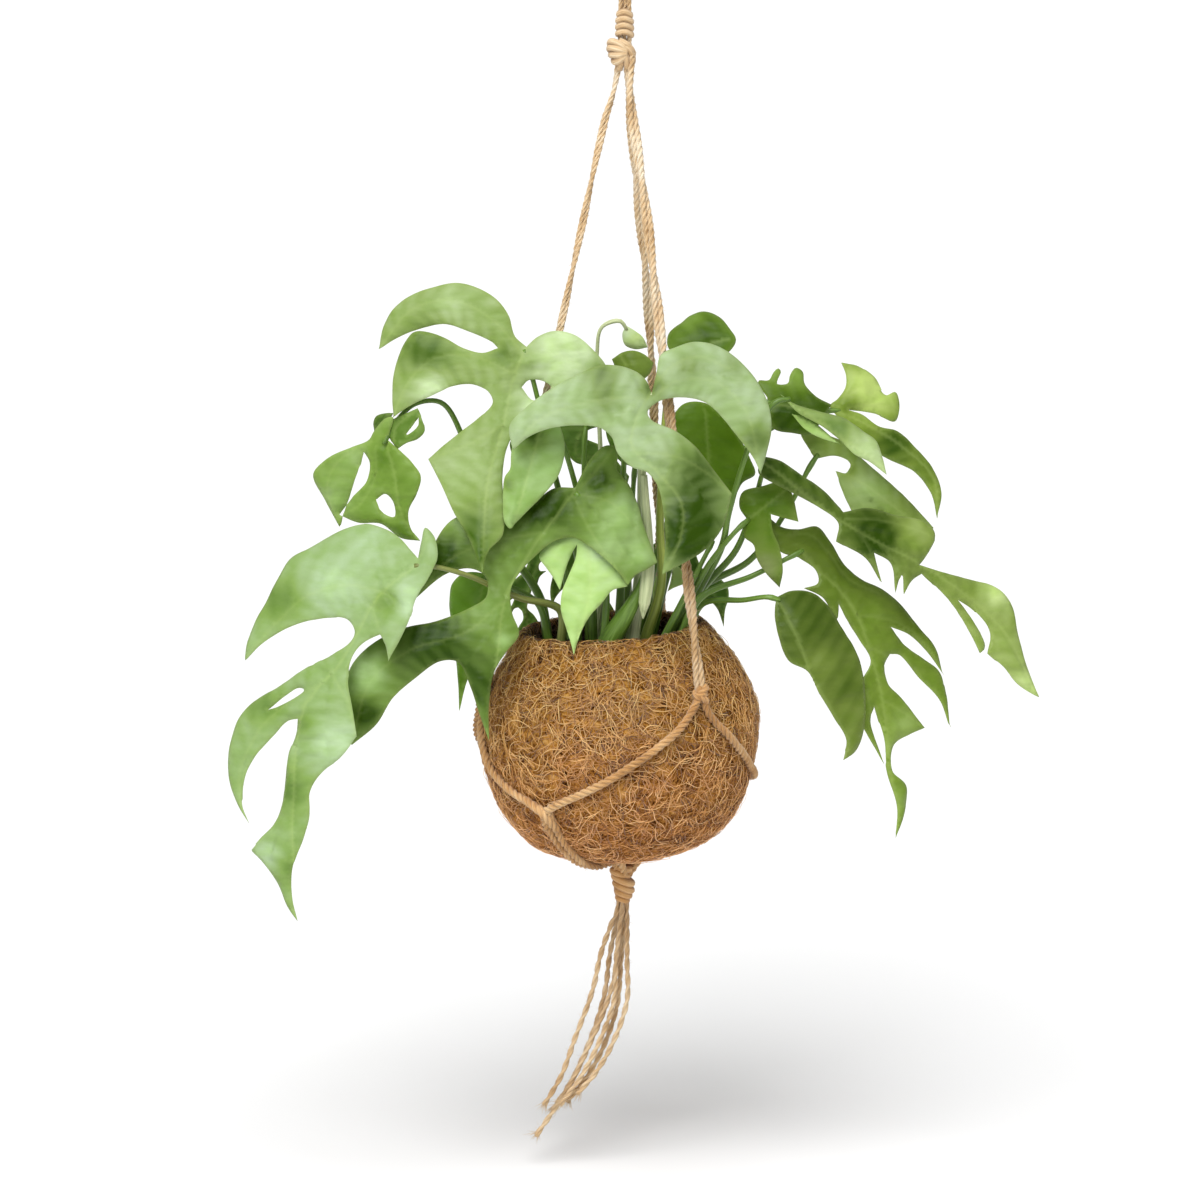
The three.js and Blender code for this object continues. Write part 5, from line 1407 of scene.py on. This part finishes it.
# How green a blade is under a painted highlight, and how much its stripes change that, as painted sheen
# and shade along the side veins.
HIGHLIGHT_GREEN = -0.12
STRIPE_SHADING = 0.06


def in_picture(leaf, points):
    """Points of an outline where the leaf stands in the picture."""
    points = np.asarray(points, float)
    if "at" not in leaf:
        return points
    spin = math.radians(leaf["spin"])
    offset = (points - np.array(leaf["axis"][0])) * leaf["scale"] * np.array([leaf["flip"], 1])
    u = offset[:, 0] * math.cos(spin) - offset[:, 1] * math.sin(spin)
    v = offset[:, 0] * math.sin(spin) + offset[:, 1] * math.cos(spin)
    return np.stack([u, v], axis=-1) + leaf["at"]


def turned(leaf, points):
    """Back leaves are turned half round the pot's axis."""
    if "at" not in leaf:
        return points
    return points * [-1, -1, 1] + [2 * POT_AXIS_X, 0, 0]


def blade_axes(leaf, chart):
    """Millimetres along and across the middle line of the blade."""
    start, end = in_picture(leaf, leaf["axis"])
    way = unit(end - start)
    offset = (chart - start) * MM_PER_UNIT
    return offset @ way, offset[:, 0] * way[1] - offset[:, 1] * way[0]


def blade_point(leaf, chart, back=0):
    """Where points of the picture lie on the bent blade, or so many millimetres behind it."""
    y, along, across, curl, arch = leaf["depth"]
    s, q = blade_axes(leaf, chart)
    depth = y + back + along * s + across * q + (curl * s * s + arch * q * q) / 100
    return turned(leaf, place(chart[:, 0], chart[:, 1], depth))


def smooth_edge(stretches):
    """A closed outline from its stretches, each smooth between its sharp ends."""
    edge = []
    for i, stretch in enumerate(stretches):
        following = stretches[(i + 1) % len(stretches)][0]
        edge.append(spline([*stretch, following], EDGE_STEP)[:-1])
    return np.vstack(edge)


def inside(points, loop):
    """Which points lie inside a closed loop."""
    x, y = points[:, :1], points[:, 1:]
    x1, y1 = loop[:, 0][None], loop[:, 1][None]
    x2, y2 = np.roll(loop[:, 0], -1)[None], np.roll(loop[:, 1], -1)[None]
    crosses = (y1 > y) != (y2 > y)
    at = x1 + (y - y1) / np.where(y2 == y1, 1e-9, y2 - y1) * (x2 - x1)
    return (crosses & (x < at)).sum(axis=1) % 2 == 1


def nearest(points, line, closed):
    """Distance to a line, place along it, and side of it."""
    ends = np.roll(line, -1, axis=0) if closed else line[1:]
    starts = line if closed else line[:-1]
    way = ends - starts
    size = np.maximum((way**2).sum(axis=1), 1e-9)
    offset = points[:, None] - starts[None]
    share = np.clip((offset * way[None]).sum(axis=2) / size, 0, 1)
    gap = offset - share[..., None] * way[None]
    distance = np.sqrt((gap**2).sum(axis=2))
    best = distance.argmin(axis=1)
    row = np.arange(len(points))
    before = np.concatenate([[0], np.cumsum(np.sqrt(size))])[:-1]
    along = before[best] + share[row, best] * np.sqrt(size)[best]
    side = np.sign(way[best, 0] * offset[row, best, 1] - way[best, 1] * offset[row, best, 0])
    return distance[row, best], along, side


def vein_lines(leaf, outline):
    return VEINS.get(outline) or [leaf["axis"]]


def edge_loops(leaf, outline):
    """The blade's edge in the picture, and the edge of its hole if it has one."""
    loops = [in_picture(leaf, smooth_edge(OUTLINES[outline]))]
    if outline in HOLES:
        hole = HOLES[outline]
        loops.append(in_picture(leaf, spline(hole + hole[:1], EDGE_STEP)[:-1]))
    return loops


def crease_lines(leaf, outline, edge):
    """The veins and folds inside the edge, which the blade's triangles follow."""
    lines = [*vein_lines(leaf, outline), *FOLDS.get(outline, [])]
    lines = [in_picture(leaf, spline(line, CREASE_STEP)) for line in lines]
    return [line[inside(line, edge)] for line in lines]


def grid_inside(edge):
    """Points inside the edge that fill it with even triangles."""
    low, high = edge.min(axis=0), edge.max(axis=0)
    rows = np.arange(low[1], high[1], BLADE_GRID * 0.866)
    columns = np.arange(low[0], high[0], BLADE_GRID)
    u = columns[None] + (np.arange(len(rows)) % 2)[:, None] * BLADE_GRID / 2
    v = rows[:, None] + 0 * columns[None]
    grid = np.stack([u.ravel(), v.ravel()], axis=-1)
    return grid[inside(grid, edge)]


def blade_chart(leaf, outline, loops):
    """The flat blade in the picture, as points and triangles."""
    creases = crease_lines(leaf, outline, loops[0])
    fill = grid_inside(loops[0])
    for loop in loops:
        fill = fill[nearest(fill, loop, True)[0] > BLADE_GRID * 0.55]
    for line in creases:
        fill = fill[nearest(fill, line, False)[0] > BLADE_GRID * 0.5]
    points, edges = [], []
    for loop in loops:
        first, count = len(points), len(loop)
        edges += [(first + i, first + (i + 1) % count) for i in range(count)]
        points += loop.tolist()
    for line in creases:
        first = len(points)
        edges += [(first + i, first + i + 1) for i in range(len(line) - 1)]
        points += line.tolist()
    points += fill.tolist()
    found = delaunay_2d_cdt([Vector(p) for p in points], edges, [], 0, 1e-4, False)
    chart = np.array([tuple(p) for p in found[0]])
    triangles = np.array([tuple(face) for face in found[2] if len(face) == 3])
    middle = chart[triangles].mean(axis=1)
    keep = inside(middle, loops[0])
    for loop in loops[1:]:
        keep &= ~inside(middle, loop)
    triangles = triangles[keep]
    used = np.unique(triangles)
    renumber = np.full(len(chart), -1)
    renumber[used] = np.arange(len(used))
    return chart[used], renumber[triangles]


def bell(distance, width):
    """1 in the middle, and less with the distance."""
    return np.exp(-((distance / width) ** 2))


def blade_relief(leaf, outline, chart, loops, seed):
    """How far the blade stands out, how pale it is, its distance from the edge, up to 1 mm, and the
    fine stripes between its side veins, from -1 to 1."""
    edge = np.min([nearest(chart, loop, True)[0] for loop in loops], axis=0) * MM_PER_UNIT
    veins = [in_picture(leaf, spline(line, VEIN_STEP)) for line in vein_lines(leaf, outline)]
    found = [nearest(chart, vein, False) for vein in veins]
    gap, run, side = [np.array(values) for values in zip(*found)]
    closest = gap.argmin(axis=0)
    gap, run, side = [values[closest, np.arange(len(chart))] for values in (gap, run, side)]
    rib, along = gap * MM_PER_UNIT, run * MM_PER_UNIT
    strength = np.where(closest == 0, 0.7, 0.4)
    phase = (along + 0.62 * rib + side * 1.3 + 3 * np.sin(along / 19 + seed * 7)) / VEIN_SPACING + seed
    to_vein = (phase - np.round(phase)) * VEIN_SPACING
    beside_rib = np.clip((rib - 0.5) / 4, 0, 1)
    stripes = np.sin(FULL_TURN * phase) * beside_rib
    side_veins = 0.1 * stripes - 0.07 * bell(to_vein, 0.9) * beside_rib
    groove = strength * (0.4 * bell(rib - 3.5, 2.6) - 0.4 * bell(rib, 1.3))
    roll = -2.6 * np.exp(-edge / 8)
    waves = 0.5 * np.exp(-edge / 7) * np.sin(along / 6.3 + seed * 9 + side)
    swell = 1.5 * np.sin(along / 12 + seed * 5) * np.cos(rib * side / 11 + seed * 3)
    swell = swell * np.clip(edge / 9, 0, 1)
    relief = side_veins + groove + roll + waves + swell
    for line in FOLDS.get(outline, []):
        fold = nearest(chart, in_picture(leaf, spline(line, VEIN_STEP)), False)[0] * MM_PER_UNIT
        relief = relief - 1.4 * np.exp(-fold / 3.2)
    lines = (strength * bell(rib, 0.5) + 0.1 * bell(to_vein, 0.7)) * np.clip(1.2 - rib / 30, 0.3, 1)
    # The pale line on the edge is partly the leaf's own colour and partly a painted highlight.
    tone = np.clip(lines + 0.8 * np.exp(-edge / 0.45), 0, 1)
    return relief, tone, np.clip(edge, 0, 1), stripes


def green_and_shading(leaf, chart):
    """0 where the blade is pale and 1 where it is deep green, as painted light and shade: it fades
    along the blade, and has painted highlights and painted shade in patches, each a place, a size and
    how much deeper."""
    along = blade_axes(leaf, chart)[0]
    start, end = leaf.get("fade", (0.2, 0.8))
    share = start + (end - start) * np.clip(along / along.max(), 0, 1)
    for u, v, size, deeper in leaf.get("patches", []):
        away = np.linalg.norm(chart - in_picture(leaf, [(u, v)]), axis=1) / leaf.get("scale", 1)
        share = share + deeper * bell(away, size)
    return share


def add_blade(bag, leaf, outline, back, seed, look):
    """A blade, with its upper face in the given look and its under face in the next."""
    loops = edge_loops(leaf, outline)
    chart, triangles = blade_chart(leaf, outline, loops)
    relief, tone, edge, stripes = blade_relief(leaf, outline, chart, loops, seed)
    base = blade_point(leaf, chart, back)
    right = blade_point(leaf, chart + [1, 0], back) - blade_point(leaf, chart - [1, 0], back)
    down = blade_point(leaf, chart + [0, 1], back) - blade_point(leaf, chart - [0, 1], back)
    normal = unit(np.cross(down, right))
    surface = base + normal * relief[:, None]
    half = normal * BLADE_THICKNESS / 2 * np.clip(0.35 + edge, 0, 1)[:, None]
    a, b, c = base[triangles[0]]
    facing = triangles if np.cross(b - a, c - a) @ normal[triangles[0][0]] > 0 else triangles[:, ::-1]
    count = len(chart)
    sides = {pair for a, b, c in facing.tolist() for pair in ((a, b), (b, c), (c, a))}
    rim = [(a, b) for a, b in sides if (b, a) not in sides]
    walls = [(b, a, a + count) for a, b in rim] + [(b, a + count, b + count) for a, b in rim]
    # green paints light and shade: fade and patches, highlights below 0, and sheen and shade along the
    # stripes.
    green = np.clip(green_and_shading(leaf, chart), HIGHLIGHT_GREEN, 1) + STRIPE_SHADING * stripes
    skins = np.vstack([surface + half, surface - half])
    bag.add(skins, facing, None, np.tile(tone, 2), look, np.tile(green, 2))
    bag.add_faces(np.vstack([facing[:, ::-1] + count, walls]), 2 * count, look + 1)


def make_leaf(name, leaf, seed):
    """One leaf: its stalk, its blade and any more blades of its own."""
    bag = Bag()
    node, outline = "leaf_" + name, leaf.get("outline", name)
    looks = [STALKS[leaf.get("stem", "green")]]
    blades = [(outline, 0, leaf["shade"], leaf.get("far", leaf["shade"])), *MORE_BLADES.get(outline, [])]
    for index, (outline, back, pale, deep) in enumerate(blades):
        for face, underside in (("top", False), ("under", True)):
            looks.append(blade_look(f"{node}_{index + 1}_{face}", pale, deep, underside))
        add_blade(bag, leaf, outline, back, seed + index * 0.3, 2 * index + 1)
    add_stalk(bag, leaf)
    bag.piece(node + "_blade", looks, SLOTS[node], [node])


def footing(leaf):
    """The foot of the stalk in the soil, and the way it leans."""
    turn = -1 if "at" in leaf else 1
    x, y = leaf["foot"]
    foot = to_world(np.array([turn * x, turn * y, SOIL_HEIGHT - FOOT_DEPTH]))
    return foot, unit(turned(leaf, place(*leaf["stalk"][0])) - foot)


def add_stalk(bag, leaf):
    """The stalk, thinner upward but for a knee under the blade, and its sheaths."""
    foot, lean = footing(leaf)
    collar = foot + lean * (FOOT_DEPTH + 4)
    route = [turned(leaf, place(*point)) for point in leaf["stalk"]]
    junction = in_picture(leaf, leaf["axis"][:1])
    line = spline([foot, collar, *route, blade_point(leaf, junction, JOINT_DEPTH)[0]], 2.0)
    share = np.linspace(0, 1, len(line))
    radius = STALK_TIP_RADIUS + (STALK_FOOT_RADIUS - STALK_TIP_RADIUS) * (1 - share) ** 1.6
    radius += 0.35 * bell(share - 0.95, 0.03)
    tube(bag, line, radius * leaf.get("thick", 1), 10)
    for points, radii in leaf.get("sheaths", []):
        line = spline([place(*point) for point in points], 0.8)
        share = np.linspace(0, 1, len(line))
        tube(bag, line, np.interp(share, np.linspace(0, 1, len(radii)), radii), 14)


STALKS = {
    "green": stalk_look("stalk_green", 0x66872F),
    "olive": stalk_look("stalk_olive", 0x7C8440),
    "pale": stalk_look("stalk_pale", 0xC3CC9C),
    "yellow": stalk_look("stalk_yellow", 0xA3B24E),
}
SLOTS = {part["node"]: part["material_slot"] for part in frame["record"]["subparts"]}
for index, (name, leaf) in enumerate(LEAVES.items()):
    make_leaf(name, leaf, index * 0.37)


# Studio: a wide pale floor, a soft key light, two weaker lights and a bright surround.

def make_floor():
    look = Look("studio_floor", roughness=0.9, specular=0.2)
    look.shader.inputs["Base Color"].default_value = (0.93, 0.93, 0.93, 1)
    angle = ring_angles(64)
    radius, height = FLOOR_RADIUS * MM, FLOOR_HEIGHT * MM
    points = [(radius * math.cos(a), radius * math.sin(a), height) for a in angle]
    mesh = bpy.data.meshes.new("floor")
    mesh.from_pydata(points, [], [tuple(range(len(points)))])
    mesh.materials.append(look.material)
    floor = bpy.data.objects.new("floor", mesh)
    bpy.context.scene.collection.objects.link(floor)


def make_sun(name, toward, angle, strength):
    """Light as from a wide window: toward points from the object to the light."""
    data = bpy.data.lights.new(name, "SUN")
    data.angle = math.radians(angle)
    data.energy = strength
    light = bpy.data.objects.new(name, data)
    light.rotation_euler = Vector(toward).to_track_quat("Z", "Y").to_euler()
    bpy.context.scene.collection.objects.link(light)


def make_studio():
    make_floor()
    make_sun("window", (-0.1, -0.5, 0.87), angle=44, strength=2.75)
    make_sun("softbox", (-0.2, -0.8, 0.55), angle=24, strength=0.5)
    make_sun("fill", (-0.6, -0.8, 0.15), angle=70, strength=0.6)
    world = bpy.data.worlds.new("studio")
    world.use_nodes = True
    world.node_tree.nodes["Background"].inputs["Color"].default_value = (1, 1, 1, 1)
    world.node_tree.nodes["Background"].inputs["Strength"].default_value = 0.31
    bpy.context.scene.world = world
    bpy.context.scene.view_settings.view_transform = "Standard"


make_studio()
